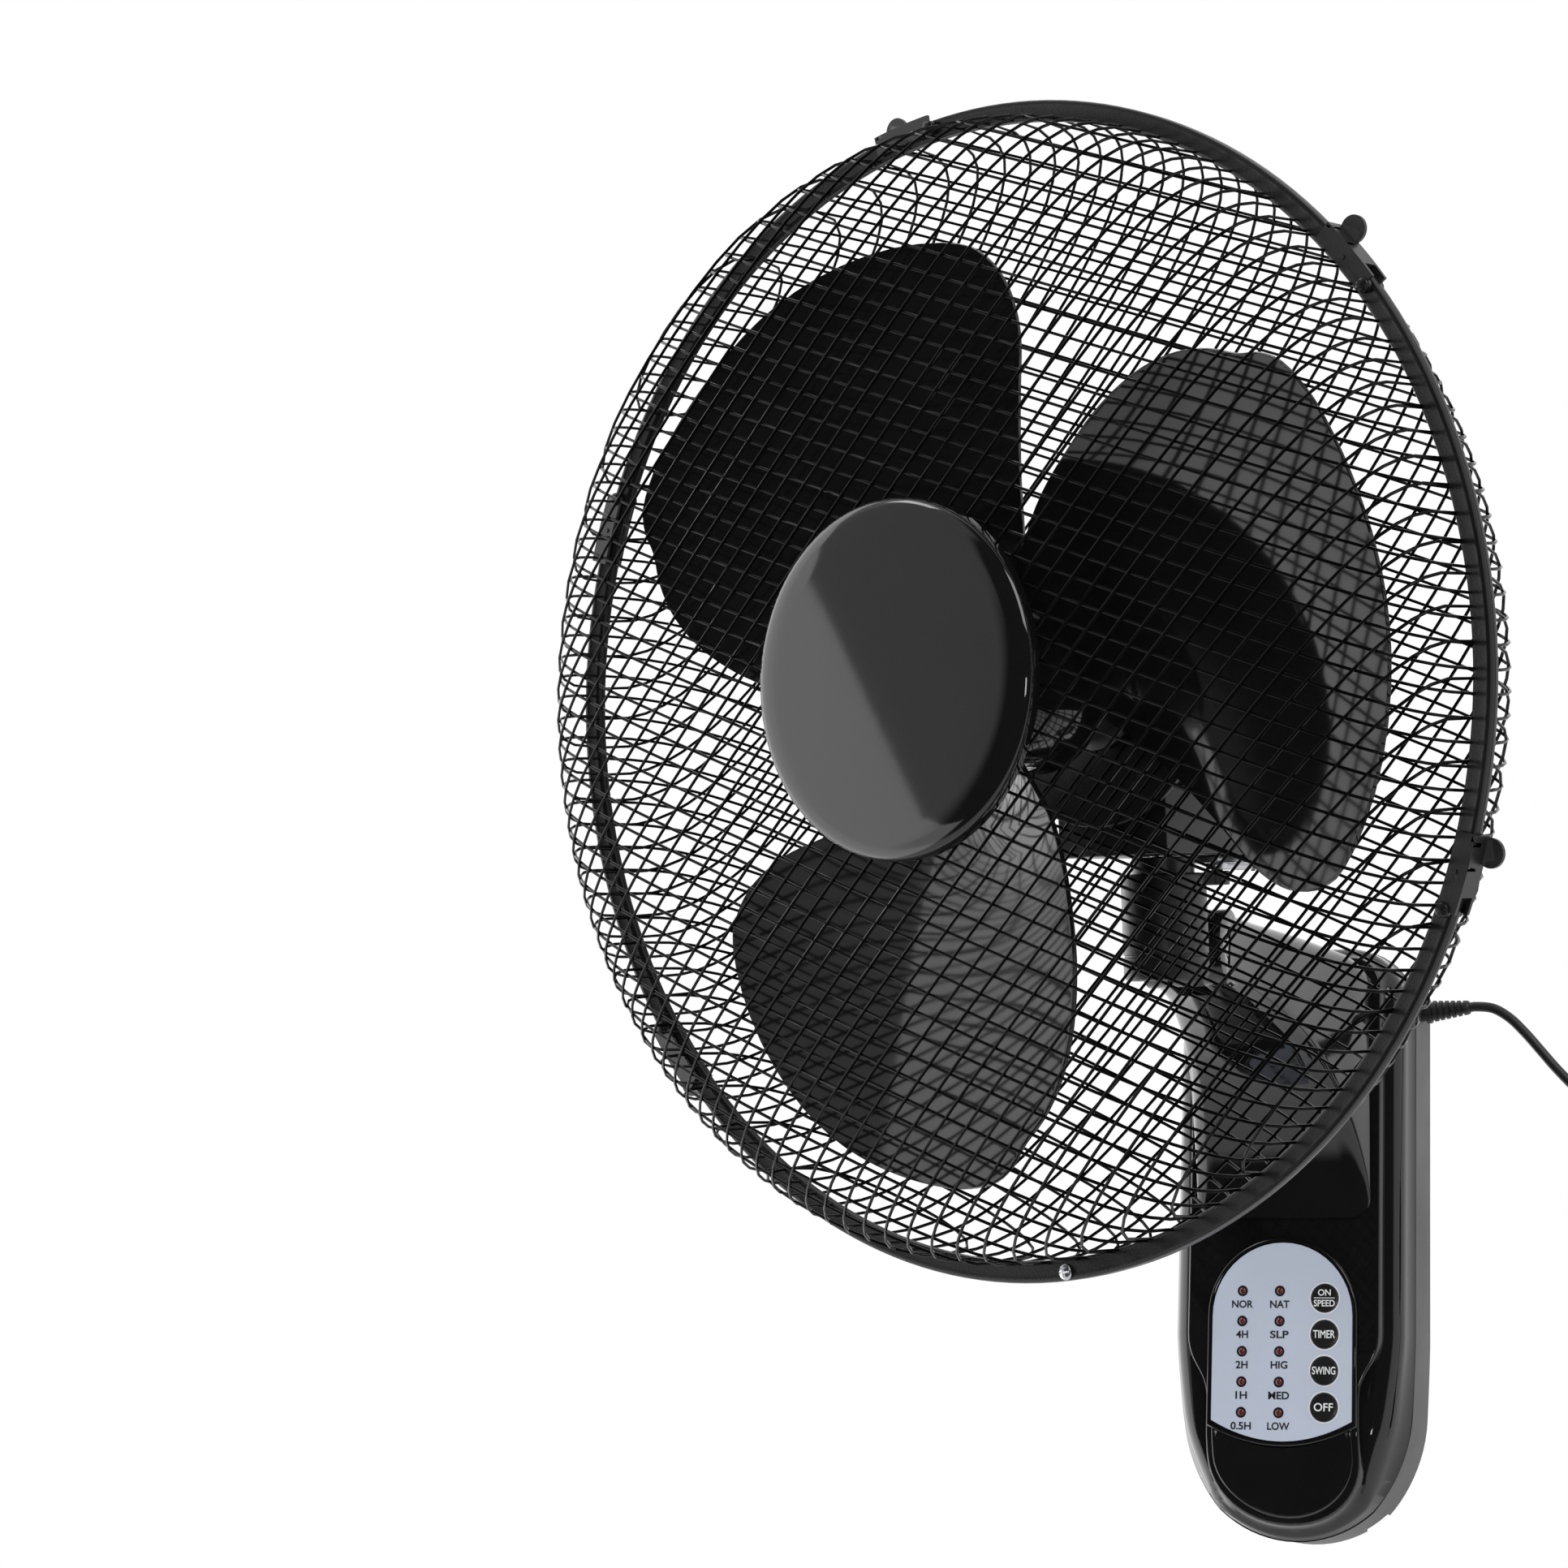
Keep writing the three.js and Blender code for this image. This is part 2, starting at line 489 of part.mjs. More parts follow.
function buildBase(root) {
  named('back_plate', backPlate(), DARK_GREY, root);
  named('front_shell', frontShell(), GLOSS_BLACK, root);
  const bezelOuter = slab(panelShape(BEZEL_WIDTH), -FACE_DEPTH - BEZEL_HEIGHT, -FACE_DEPTH - GAP);
  named('panel_bezel', cut(bezelOuter, [slab(panelShape(GAP), -FACE_DEPTH - 4, 0)]), GLOSS_BLACK, root);
  const ports = [
    ...buttonPlaces.map((at) => rodSolid('y', BUTTON_RADIUS + GAP, -FACE_DEPTH - 2, 0, at, 12)),
    ...ledPlaces.map((at) => rodSolid('y', LED_RADIUS + GAP, -FACE_DEPTH - 2, 0, at, 6)),
  ];
  named('panel_overlay', cut(slab(panelShape(0), -FACE_DEPTH, OVERLAY_BACK), ports), SILVER, root);
  const windowBody = slab(windowShape(0), -FACE_DEPTH + 0.4, -FLANK_DEPTH + 2);
  named('receiver_window', windowBody, GLOSS_BLACK, root);

  const boardFront = -FLANK_DEPTH + 8 + 4;
  const board = boxSolid([-BOARD_WIDTH / 2, BOARD_WIDTH / 2], [boardFront, boardFront + BOARD_THICKNESS],
    [BOARD_FOOT, BOARD_TOP]);
  const receiver = boxSolid([-3, 3], [boardFront - 4, boardFront + 0.5], [BOARD_FOOT, BOARD_FOOT + 4]);
  const relay = boxSolid([RELAY_LEFT, RELAY_LEFT + RELAY_WIDTH], [boardFront + 1.5, boardFront + 12],
    [RELAY_FOOT, RELAY_FOOT + RELAY_HEIGHT]);
  const triac = boxSolid([TRIAC_LEFT, TRIAC_LEFT + TRIAC_WIDTH], [boardFront + 1.5, boardFront + 8],
    [TRIAC_FOOT, TRIAC_FOOT + TRIAC_HEIGHT]);
  const switches = buttonPlaces.map(([x, z]) => (
    boxSolid([x - 3, x + 3], [boardFront - SWITCH_HEIGHT, boardFront + 0.5], [z - 3, z + 3])));
  named('control_board', joined([board, receiver, relay, triac, ...switches]), BOARD_GREEN, root);
  const carrier = boxSolid([LED_COLUMNS[0] - 3, LED_COLUMNS[1] + 3], [boardFront - 2.4, boardFront - GAP],
    [LED_TOP - LED_PITCH * (LED_ROWS - 1) - 3, LED_TOP + 3]);
  named('status_leds', joined([carrier, ...ledPlaces.map((at) => {
    return rodSolid('y', LED_RADIUS, -FACE_DEPTH - 0.9, boardFront - 1, at, 6);
  })]), LED_RED, root);
  const stemEnd = boardFront - SWITCH_HEIGHT - GAP - BUTTON_TRAVEL;
  BUTTON_NAMES.forEach((name, i) => {
    const [x, z] = buttonPlaces[i];
    const cap = turned([[0, -FACE_DEPTH - BUTTON_PROUD], [BUTTON_RADIUS - 0.8, -FACE_DEPTH - BUTTON_PROUD],
      [BUTTON_RADIUS, -FACE_DEPTH - BUTTON_PROUD + 0.6], [BUTTON_RADIUS, -FLANK_DEPTH + 3],
      [2, -FLANK_DEPTH + 3], [2, stemEnd], [0, stemEnd]], 12);
    named(name, cap.translate([x, 0, z]), BUTTON_BLACK, root);
  });
  named('run_capacitor', rodSolid('z', CAPACITOR_RADIUS, -20, 24, CAPACITOR_AT, 24), SATIN_BLACK, root);
  const sinkFloor = -BACK_DEPTH + SCREW_SINK;
  SHELL_SCREWS.forEach((at, i) => {
    named(`shell_screw_${i + 1}`, screw(at, sinkFloor + GAP, sinkFloor + 3, -FLANK_DEPTH + 8), STEEL, root);
  });
  const inside = -FACE_DEPTH + SHELL_WALL;
  ARM_SCREWS.forEach((at, i) => {
    named(`arm_screw_${i + 1}`, screw(at, inside + 3, inside + GAP, -FACE_DEPTH - 13), STEEL, root);
  });
  named('arm', armBody(), GLOSS_BLACK, root);
  const cheek = FORK_WIDTH / 2;
  const pivot = [-PIVOT_REACH, PIVOT_HEIGHT];
  const head = rodSolid('x', 7, -cheek + 0.4, -cheek + BOLT_SINK - GAP, pivot, 6);
  const shank = rodSolid('x', TILT_BOLT_RADIUS, -cheek + 1, cheek - 0.5, pivot, 12);
  named('tilt_bolt', head.add(shank), STEEL, root);
  const nut = rodSolid('x', 7, cheek - BOLT_SINK + GAP, cheek - 0.6, pivot, 6);
  const nutBore = rodSolid('x', TILT_BOLT_RADIUS + GAP, 0, FORK_WIDTH, pivot, 12);
  named('tilt_nut', nut.subtract(nutBore), STEEL, root);
}

// ---- Neck, tipped about the pivot ----
const COLLAR_TOP = MOTOR_HEIGHT - SADDLE_BOTTOM - RUNNING_GAP;
const LINK_BOTTOM = NECK_SHOULDER + 1.2;
const LINK_THICKNESS = 2.4;
const BUSH_RADIUS = SWING_PIN_RADIUS + GAP + SWING_BUSH_WALL;
const BUSH_BOTTOM = 16;
const anchor = [ANCHOR_RADIUS * Math.cos(rad(ANCHOR_ANGLE)), ANCHOR_RADIUS * Math.sin(rad(ANCHOR_ANGLE))];

function neckHousing() {
  const at = [0, -NECK_OFFSET];
  const post = rodSolid('z', NECK_RADIUS, NECK_BOTTOM, NECK_SHOULDER, at);
  const collar = rodSolid('z', NECK_COLLAR_RADIUS, NECK_SHOULDER - 1, COLLAR_TOP, at);
  const lugHeight = -NECK_BOTTOM;
  const lug = boxSolid([-LUG_WIDTH / 2, LUG_WIDTH / 2], [-NECK_OFFSET, 0], [-lugHeight, lugHeight])
    .add(rodSolid('x', FORK_RADIUS - GAP, -LUG_WIDTH / 2, LUG_WIDTH / 2, [0, 0]));
  const ear = rodSolid('z', 5, NECK_SHOULDER - 5, NECK_SHOULDER + 0.5, [anchor[0], anchor[1] - NECK_OFFSET], 12)
    .add(boxSolid([0, ANCHOR_RADIUS], [-4.5, 4.5], [NECK_SHOULDER - 5, NECK_SHOULDER])
      .rotate([0, 0, ANCHOR_ANGLE]).translate([0, -NECK_OFFSET, 0]));
  const pin = rodSolid('z', 2.4, NECK_SHOULDER, LINK_BOTTOM + LINK_THICKNESS + 0.3,
    [anchor[0], anchor[1] - NECK_OFFSET], SMALL_SEGMENTS);
  const bore = rodSolid('z', BUSH_RADIUS + GAP, BUSH_BOTTOM, COLLAR_TOP + 1, at, 16);
  const boltHole = rodSolid('x', TILT_BOLT_RADIUS + GAP, -LUG_WIDTH, LUG_WIDTH, [0, 0], 12);
  return cut(joined([post, collar, lug, ear, pin]), [bore, boltHole]);
}

function buildNeck(tilt) {
  named('neck_housing', neckHousing(), SATIN_BLACK, tilt);
  const at = [0, -NECK_OFFSET];
  const bush = rodSolid('z', BUSH_RADIUS, BUSH_BOTTOM + GAP, COLLAR_TOP, at, 16);
  const bushBore = rodSolid('z', SWING_PIN_RADIUS + GAP, 0, COLLAR_TOP + 2, at, 16);
  named('swing_bush', bush.subtract(bushBore), BRASS, tilt);

  const link = new THREE.Group();
  link.position.set(anchor[0], anchor[1] - NECK_OFFSET, 0);
  link.rotation.z = rad(LINK_AT_CENTRE + LINK_RATIO * SWING_REST);
  tilt.add(link);
  const span = [LINK_BOTTOM, LINK_BOTTOM + LINK_THICKNESS];
  const bar = boxSolid([0, LINK_LENGTH], [-3, 3], span);
  const eyes = [rodSolid('z', 5, ...span, [0, 0], 16), rodSolid('z', 7.4, ...span, [LINK_LENGTH, 0], 16)];
  const holes = [rodSolid('z', 2.7, 0, 60, [0, 0], 16), rodSolid('z', 4.4, 0, 60, [LINK_LENGTH, 0], 16)];
  named('crank_link', cut(joined([bar, ...eyes]), holes), STEEL, link);
}

// ---- Head, swung about the neck's axis; the motor's axis runs along Y ----
function buildMotor(head) {
  const outer = MOTOR_RADIUS;
  const wall = MOTOR_WALL;
  const seat = BEARING_RADIUS + GAP;
  const face = -MOTOR_FRONT;
  const collarRadius = MOTOR_COLLAR_RADIUS;
  const split = 5;
  const frontCover = turned([[seat, face - 9], [collarRadius, face - 9], [collarRadius, face], [outer - 7, face],
    [outer, face + 6], [outer, split], [outer - wall, split], [outer - wall, face + 7.5],
    [outer - 8.5, face + wall], [collarRadius, face + wall], [collarRadius, face + 10],
    [seat, face + 10]], FINE_SEGMENTS);
  named('motor_front_cover', frontCover, SATIN_BLACK, head);
  const back = MOTOR_BACK;
  const inside = back - wall - 0.5;
  const rearCover = turned([[0, back], [26, back], [41, back - 8], [outer, back - 21], [outer, split + GAP],
    [outer - wall, split + GAP], [outer - wall, back - 22], [outer - 8, back - 11], [25, inside], [11, inside],
    [11, back - 14], [seat, back - 14], [seat, inside], [0, inside]], FINE_SEGMENTS);
  named('motor_rear_cover', rearCover, SATIN_BLACK, head);
  const middle = 9;
  const statorOuter = outer - wall - GAP;
  const stator = turned([[STATOR_BORE, middle - STATOR_HALF], [statorOuter, middle - STATOR_HALF],
    [statorOuter, middle + STATOR_HALF], [STATOR_BORE, middle + STATOR_HALF]], FINE_SEGMENTS);
  named('stator_core', stator, LAMINATION, head);
  const winding = (from, to) => turned([[STATOR_BORE + 1, from], [STATOR_BORE + 1 + WINDING_THICKNESS, from],
    [STATOR_BORE + 1 + WINDING_THICKNESS, to], [STATOR_BORE + 1, to]]);
  named('front_winding', winding(middle - STATOR_HALF - WINDING_REACH, middle - STATOR_HALF - GAP), COPPER, head);
  named('rear_winding', winding(middle + STATOR_HALF + GAP, middle + STATOR_HALF + WINDING_REACH), COPPER, head);
  const race = (from) => turned([[SHAFT_RADIUS + GAP, from], [BEARING_RADIUS, from],
    [BEARING_RADIUS, from + BEARING_WIDTH], [SHAFT_RADIUS + GAP, from + BEARING_WIDTH]], 16);
  named('front_bearing', race(face + 1), BRASS, head);
  named('rear_bearing', race(back - 13), BRASS, head);

  const block = boxSolid([-SADDLE_WIDTH / 2, SADDLE_WIDTH / 2], [-SADDLE_FRONT, SADDLE_BACK],
    [-SADDLE_BOTTOM, -SADDLE_TOP]);
  const cradle = rodSolid('y', outer + GAP, -80, 90, [0, 0], FINE_SEGMENTS);
  const motorWell = rodSolid('z', SWING_MOTOR_RADIUS + GAP, -SADDLE_BOTTOM + 2.6, 0, [0, CRANK_BACK]);
  const shaftHole = rodSolid('z', 3.4, -SADDLE_BOTTOM - 1, 0, [0, CRANK_BACK], 16);
  const pinHole = rodSolid('z', SWING_PIN_RADIUS + GAP, -SADDLE_BOTTOM - 1, -SADDLE_BOTTOM + 13, [0, 0], 16);
  named('saddle', cut(block, [cradle, motorWell, shaftHole, pinHole]), SATIN_BLACK, head);
  const swingPin = rodSolid('z', SWING_PIN_RADIUS, BUSH_BOTTOM + 0.6 - MOTOR_HEIGHT, -SADDLE_BOTTOM + 13 - GAP,
    [0, 0], 16);
  named('swing_pin', swingPin, STEEL, head);
  const gearbox = rodSolid('z', SWING_MOTOR_RADIUS, -SADDLE_BOTTOM + 2.6 + GAP, -outer - 0.6, [0, CRANK_BACK]);
  const shaftSocket = rodSolid('z', 3.4, -SADDLE_BOTTOM, -outer - 4, [0, CRANK_BACK], 16);
  named('swing_motor', gearbox.subtract(shaftSocket), STEEL, head);

  const crank = new THREE.Group();
  crank.position.set(0, CRANK_BACK, 0);
  crank.rotation.z = rad(CRANK_AT_CENTRE - CRANK_RATIO * SWING_REST);
  head.add(crank);
  const discBottom = LINK_BOTTOM + LINK_THICKNESS + RUNNING_GAP - MOTOR_HEIGHT;
  const disc = rodSolid('z', CRANK_THROW + 3.5, discBottom, -SADDLE_BOTTOM - 0.4, [0, 0]);
  const stub = rodSolid('z', 3, discBottom + 1, -outer - 4.6, [0, 0], 16);
  const throwPin = rodSolid('z', CRANK_PIN_RADIUS, LINK_BOTTOM - 0.6 - MOTOR_HEIGHT, discBottom + 1,
    [CRANK_THROW, 0], SMALL_SEGMENTS);
  named('crank_disc', joined([disc, stub, throwPin]), STEEL, crank);
}

function buildRotor(rotor) {
  const middle = 9;
  const hubBack = -RING_REACH + HUB_BACK;
  const hubFront = -RING_REACH - HUB_FRONT;
  const coreRadius = STATOR_BORE - RUNNING_GAP;
  named('rotor_core', turned([[SHAFT_RADIUS + GAP, middle - STATOR_HALF], [coreRadius, middle - STATOR_HALF],
    [coreRadius, middle + STATOR_HALF], [SHAFT_RADIUS + GAP, middle + STATOR_HALF]]), LAMINATION, rotor);
  named('motor_shaft', rodSolid('y', SHAFT_RADIUS, hubFront - 9, MOTOR_BACK - 4, [0, 0], 16), STEEL, rotor);

  // Each station of the blade: distance from the axis, leading edge and trailing edge in degrees.
  const stations = [[BLADE_ROOT, -30, 53], [60, -36, 54.5], [97, -39.8, 49], [132, -42.6, 42.7], [156, -41, 36.5],
    [172, -35, 29.5], [BLADE_TIP - 3, -13.5, 24.5], [BLADE_TIP, 3, 17]];
  const across = 6;
  const depth = (angle, radius) => (-RING_REACH + BLADE_BACK - BLADE_RISE * angle - BLADE_CAMBER * angle ** 2
    - BLADE_CONE * Math.max(radius - CONE_START, 0));
  const sections = stations.map(([radius, lead, trail]) => {
    const points = [];
    for (const side of [0, 1]) {
      for (let i = 0; i < across; i += 1) {
        const share = side ? 1 - i / (across - 1) : i / (across - 1);
        const angle = THREE.MathUtils.lerp(lead, trail, share);
        const y = depth(angle, radius) + (side ? BLADE_THICKNESS / 2 : -BLADE_THICKNESS / 2);
        points.push(new THREE.Vector3(radius * Math.cos(rad(angle)), y, radius * Math.sin(rad(angle))));
      }
    }
    return points;
  });
  const blade = bladeSkin(sections, across);
  const blades = [...Array(BLADES).keys()].map((i) => blade.rotate([0, -(i * 360) / BLADES, 0]));
  const boreRadius = SHAFT_RADIUS + GAP;
  const hub = turned([[boreRadius, hubBack], [BLADE_HUB_RADIUS - 3, hubBack], [BLADE_HUB_RADIUS, hubBack - 3],
    [BLADE_HUB_RADIUS, hubFront + 6], [BLADE_HUB_RADIUS - 6, hubFront], [boreRadius, hubFront]]);
  const bore = rodSolid('y', boreRadius, hubFront - 5, hubBack + 5, [0, 0], 16);
  named('blades', cut(joined([hub, ...blades]), [bore]), GLOSS_BLACK, rotor);
  named('spinner_nut', turned([[0, hubFront - 13], [6, hubFront - 12.5], [12, hubFront - 9], [15, hubFront - 4],
    [15, hubFront - GAP], [SHAFT_RADIUS + GAP, hubFront - GAP], [SHAFT_RADIUS + GAP, hubFront - 9.5],
    [0, hubFront - 9.5]], 24), GLOSS_BLACK, rotor);
}

// A thin closed skin from rows of points that run along the front side and back along the rear side.
function bladeSkin(rows, across) {
  const count = rows[0].length;
  const positions = rows.flat().flatMap((p) => [p.x, p.y, p.z]);
  const index = [];
  for (let s = 0; s < rows.length - 1; s += 1) {
    for (let i = 0; i < count; i += 1) {
      const j = (i + 1) % count;
      const a = s * count + i;
      const b = s * count + j;
      index.push(a, b, b + count, a, b + count, a + count);
    }
  }
  for (const s of [0, rows.length - 1]) {
    for (let i = 0; i < across - 1; i += 1) {
      const [a, b] = [s * count + i, s * count + i + 1];
      const [c, d] = [s * count + count - 2 - i, s * count + count - 1 - i];
      if (s === 0) index.push(a, d, b, b, d, c);
      else index.push(a, b, d, b, c, d);
    }
  }
  const geometry = new THREE.BufferGeometry();
  geometry.setAttribute('position', new THREE.Float32BufferAttribute(positions, 3));
  geometry.setIndex(index);
  const body = solid(geometry);
  if (body.volume() > 0) return body;
  for (let i = 0; i < index.length; i += 3) [index[i], index[i + 1]] = [index[i + 1], index[i]];
  geometry.setIndex(index);
  return solid(geometry);
}

// ---- Guards ----
const RIM_SEGMENTS = 48;
const RIM_MIDDLE = RING_RADIUS - RIM_WIDTH / 2;
const frontRim = [-RING_REACH - RIM_DEPTH, -RING_REACH - GAP / 2];
const rearRim = [-RING_REACH + GAP / 2, -RING_REACH + RIM_DEPTH];
const DOME_RADIUS = RING_RADIUS - DOME_MARGIN;
const RIVET_CIRCLE = RING_RADIUS - 3.3;
const domeDepth = (radius, rise, power) => rise * (1 - Math.min(radius / DOME_RADIUS, 1) ** 5) ** power;

// One wire of a guard: straight as seen along the axis, bent over the dome in depth.
function domeWire(offset, angle, depthAt) {
  const half = Math.sqrt(RIM_MIDDLE ** 2 - offset ** 2);
  const knee = Math.sqrt(DOME_RADIUS ** 2 - offset ** 2);
  const steps = Math.max(4, Math.round(half / 48));
  const places = [...Array(steps + 1).keys()].map((i) => knee * Math.sin((Math.PI / 2) * ((2 * i) / steps - 1)));
  const across = new THREE.Vector3(-Math.sin(angle), 0, Math.cos(angle));
  const along = new THREE.Vector3(Math.cos(angle), 0, Math.sin(angle));
  const centre = (t) => {
    const point = across.clone().multiplyScalar(offset).addScaledVector(along, t);
    point.y = depthAt(Math.hypot(offset, t));
    return point;
  };
  const sections = [];
  for (const t of [-half, ...places, half]) {
    const ahead = centre(Math.min(t + 0.5, half));
    const tangent = ahead.sub(centre(Math.max(t - 0.5, -half))).normalize();
    const normal = tangent.clone().cross(across).normalize();
    const middle = centre(t);
    sections.push([0, 1, 2].map((k) => middle.clone()
      .addScaledVector(across, WIRE_RADIUS * Math.cos((Math.PI * 2 * k) / 3))
      .addScaledVector(normal, WIRE_RADIUS * Math.sin((Math.PI * 2 * k) / 3))));
  }
  return loft(sections);
}

function wireDome(depthAt) {
  const wires = [];
  for (const [family, pitch] of WIRE_PITCHES.entries()) {
    const degrees = WIRE_ANGLES[family];
    const count = Math.floor((2 * RIM_MIDDLE - 60) / pitch);
    for (let i = 0; i <= count; i += 1) wires.push(domeWire((i - count / 2) * pitch, rad(degrees), depthAt));
  }
  return joined(wires);
}

const fastenerAngles = [...Array(FASTENERS).keys()].map((i) => (
  i ? FASTENER_FIRST + (i * 360) / FASTENERS : RING_SCREW_ANGLE));
const onRim = (degrees, radius = RIVET_CIRCLE) => (
  [radius * Math.cos(rad(degrees)), radius * Math.sin(rad(degrees))]);
const RIVET_RADIUS = 1.5;

function buildGuards(head) {
  const rimRing = ([from, to]) => turned([[RING_RADIUS - RIM_WIDTH, from], [RING_RADIUS, from], [RING_RADIUS, to],
    [RING_RADIUS - RIM_WIDTH, to]], RIM_SEGMENTS);
  const rimMiddle = (rim) => (rim[0] + rim[1]) / 2;
  const holes = fastenerAngles.map((a) => (
    rodSolid('y', RIVET_RADIUS + GAP, frontRim[0] - 2, rearRim[1] + 2, onRim(a), SMALL_SEGMENTS)));

  const frontDepth = (r) => rimMiddle(frontRim) - domeDepth(r, FRONT_DOME, 0.3);
  const discAt = frontDepth(0);
  const disc = rodSolid('y', FRONT_DISC_RADIUS, discAt - 1.2, discAt + 1.2, [0, 0], FINE_SEGMENTS);
  named('front_guard', cut(joined([wireDome(frontDepth), rimRing(frontRim), disc]), holes), WIRE_BLACK, head);

  const rearDepth = (r) => rimMiddle(rearRim) + domeDepth(r, REAR_DOME, 0.36);
  const plate = rodSolid('y', REAR_PLATE_RADIUS, -MOTOR_FRONT - 3, -MOTOR_FRONT - GAP, [0, 0], FINE_SEGMENTS);
  const collarHole = rodSolid('y', MOTOR_COLLAR_RADIUS + GAP, -MOTOR_FRONT - 8, -MOTOR_FRONT + 8, [0, 0]);
  const motorRoom = rodSolid('y', MOTOR_RADIUS, -MOTOR_FRONT - GAP, 0, [0, 0], FINE_SEGMENTS);
  const rearGuard = cut(joined([wireDome(rearDepth), rimRing(rearRim), plate]), [...holes, collarHole, motorRoom]);
  named('rear_guard', rearGuard, WIRE_BLACK, head);
  const nutBore = MOTOR_COLLAR_RADIUS + GAP;
  named('guard_nut', turned([[nutBore, -MOTOR_FRONT - 8.5], [GUARD_NUT_GRIP, -MOTOR_FRONT - 8.5],
    [GUARD_NUT_RADIUS, -MOTOR_FRONT - 5], [GUARD_NUT_RADIUS, -MOTOR_FRONT - 3 - GAP],
    [nutBore, -MOTOR_FRONT - 3 - GAP]]), SATIN_BLACK, head);

  const plateBack = discAt - 1.2 - GAP;
  const top = plateBack - HUB_PLATE_HEIGHT;
  named('hub_plate', turned([[0, top - 1.6], [HUB_CROWN_RADIUS, top - 1], [HUB_PLATE_RADIUS - 4, top + 0.6],
    [HUB_PLATE_RADIUS, top + 3.4], [HUB_PLATE_RADIUS, plateBack], [HUB_PLATE_RADIUS - 2.5, plateBack],
    [HUB_PLATE_RADIUS - 2.5, top + 4], [HUB_BOSS_RADIUS, top + 1.4], [HUB_BOSS_RADIUS, plateBack],
    [0, plateBack]],
  FINE_SEGMENTS), GLOSS_BLACK, head);
}

// A clip lies over both rims: two legs, the wall outside them, and a round finger lobe at its free end.
const LEG = 1.4;
const CLIP_CLEAR = 0.4;
const LOBE_RADIUS = 5.2;
const LOBE_REACH = 8.8;

function ringSector(inner, outer, from, to, start, end) {
  const shape = new THREE.Shape();
  shape.absarc(0, 0, outer, rad(start), rad(end), false);
  shape.absarc(0, 0, inner, rad(end), rad(start), true);
  shape.closePath();
  return slab(shape, from, to, 2);
}

function clipBody(at) {
  const front = [frontRim[0] - CLIP_CLEAR - LEG, frontRim[0] - CLIP_CLEAR];
  const rear = [rearRim[1] + CLIP_CLEAR, rearRim[1] + CLIP_CLEAR + LEG];
  const outer = RING_RADIUS + CLIP_CLEAR;
  const arc = [at, at + CLIP_ARC];
  const legs = [front, rear].map((span) => (
    ringSector(RIVET_CIRCLE - 2.8, outer + LEG, span[0], span[1], arc[0] - 0.9, arc[1])));
  const wall = ringSector(outer, outer + LEG, front[0], rear[1], arc[0] + 1.6, arc[1]);
  const lobeAt = onRim(arc[1] - 1.35, outer + LOBE_REACH - LOBE_RADIUS);
  const lobe = rodSolid('y', LOBE_RADIUS, rear[0], rear[1], lobeAt, 10);
  const hole = rodSolid('y', RIVET_RADIUS + GAP, front[0] - 2, rear[1] + 2, onRim(at), SMALL_SEGMENTS);
  return cut(joined([...legs, wall, lobe]), [hole]);
}

function buildFasteners(head) {
  const headFront = frontRim[0] - CLIP_CLEAR - LEG - GAP;
  const clips = fastenerAngles.slice(1);
  clips.forEach((angle, i) => named(`guard_clip_${i + 1}`, clipBody(angle), SATIN_BLACK, head));
  const tail = rearRim[1] + CLIP_CLEAR + LEG + GAP + 1;
  clips.forEach((angle, i) => {
    const rivetHead = rodSolid('y', 2.7, headFront - 1.2, headFront, onRim(angle), SMALL_SEGMENTS);
    const shank = rodSolid('y', RIVET_RADIUS, headFront - 0.5, tail, onRim(angle), SMALL_SEGMENTS);
    named(`clip_rivet_${i + 1}`, rivetHead.add(shank), SATIN_BLACK, head);
  });
  const at = onRim(RING_SCREW_ANGLE);
  named('ring_screw', rodSolid('y', 2.9, frontRim[0] - GAP - 1.8, frontRim[0] - GAP, at, SMALL_SEGMENTS)
    .add(rodSolid('y', RIVET_RADIUS, frontRim[0] - 1, rearRim[1] + 5, at, SMALL_SEGMENTS)), STEEL, head);
  named('ring_nut', rodSolid('y', 3.2, rearRim[1] + GAP, rearRim[1] + 3, at, 6)
    .subtract(rodSolid('y', RIVET_RADIUS + GAP, -RING_REACH, rearRim[1] + 8, at, SMALL_SEGMENTS)), STEEL, head);
}

// ---- Cord ----
const COIL_CENTRE = new THREE.Vector3(182, -10, 12);
const COIL_LEAD_IN = 2 * CORD_RADIUS; // straight stretch at each end of the coil
const coilEnd = (turn, further = 0) => (
  coilPoint(turn).sub(new THREE.Vector3(COIL_LEAD_IN + GAP + further, 0, 0)).toArray());
const TAIL_END = [151, -11, -60];
const cordRoute = () => [fromCorner(BASE_CORNER + GLAND_LENGTH + GAP), fromCorner(BASE_CORNER + GLAND_LENGTH + 2.5),
  [83.2, -12.8, 104], [90.4, -12.4, 99.8], [97.5, -12, 92.8], [104.5, -11.4, 84.6], [111.5, -10.7, 76.4],
  [121, -10, 67], [140, -9, 55], [155, -8, 48.5], coilEnd(0, 4), coilEnd(0)];
const tailRoute = () => [coilEnd(2 * COIL_TURNS), coilEnd(2 * COIL_TURNS, 4), [162, -12.5, -25.5],
  [155, -12, -33], [151.3, -11.3, -44], TAIL_END];

function tubeAlong(points, steps, sides) {
  const curve = new THREE.CatmullRomCurve3(points.map((p) => new THREE.Vector3(...p)), false, 'centripetal');
  const section = new THREE.Shape();
  for (let i = 0; i < sides; i += 1) {
    const a = (2 * Math.PI * i) / sides;
    const [x, y] = [CORD_RADIUS * Math.cos(a), CORD_RADIUS * Math.sin(a)];
    if (i === 0) section.moveTo(x, y);
    else section.lineTo(x, y);
  }
  section.closePath();
  return solid(new THREE.ExtrudeGeometry(section, { steps, extrudePath: curve, bevelEnabled: false }));
}

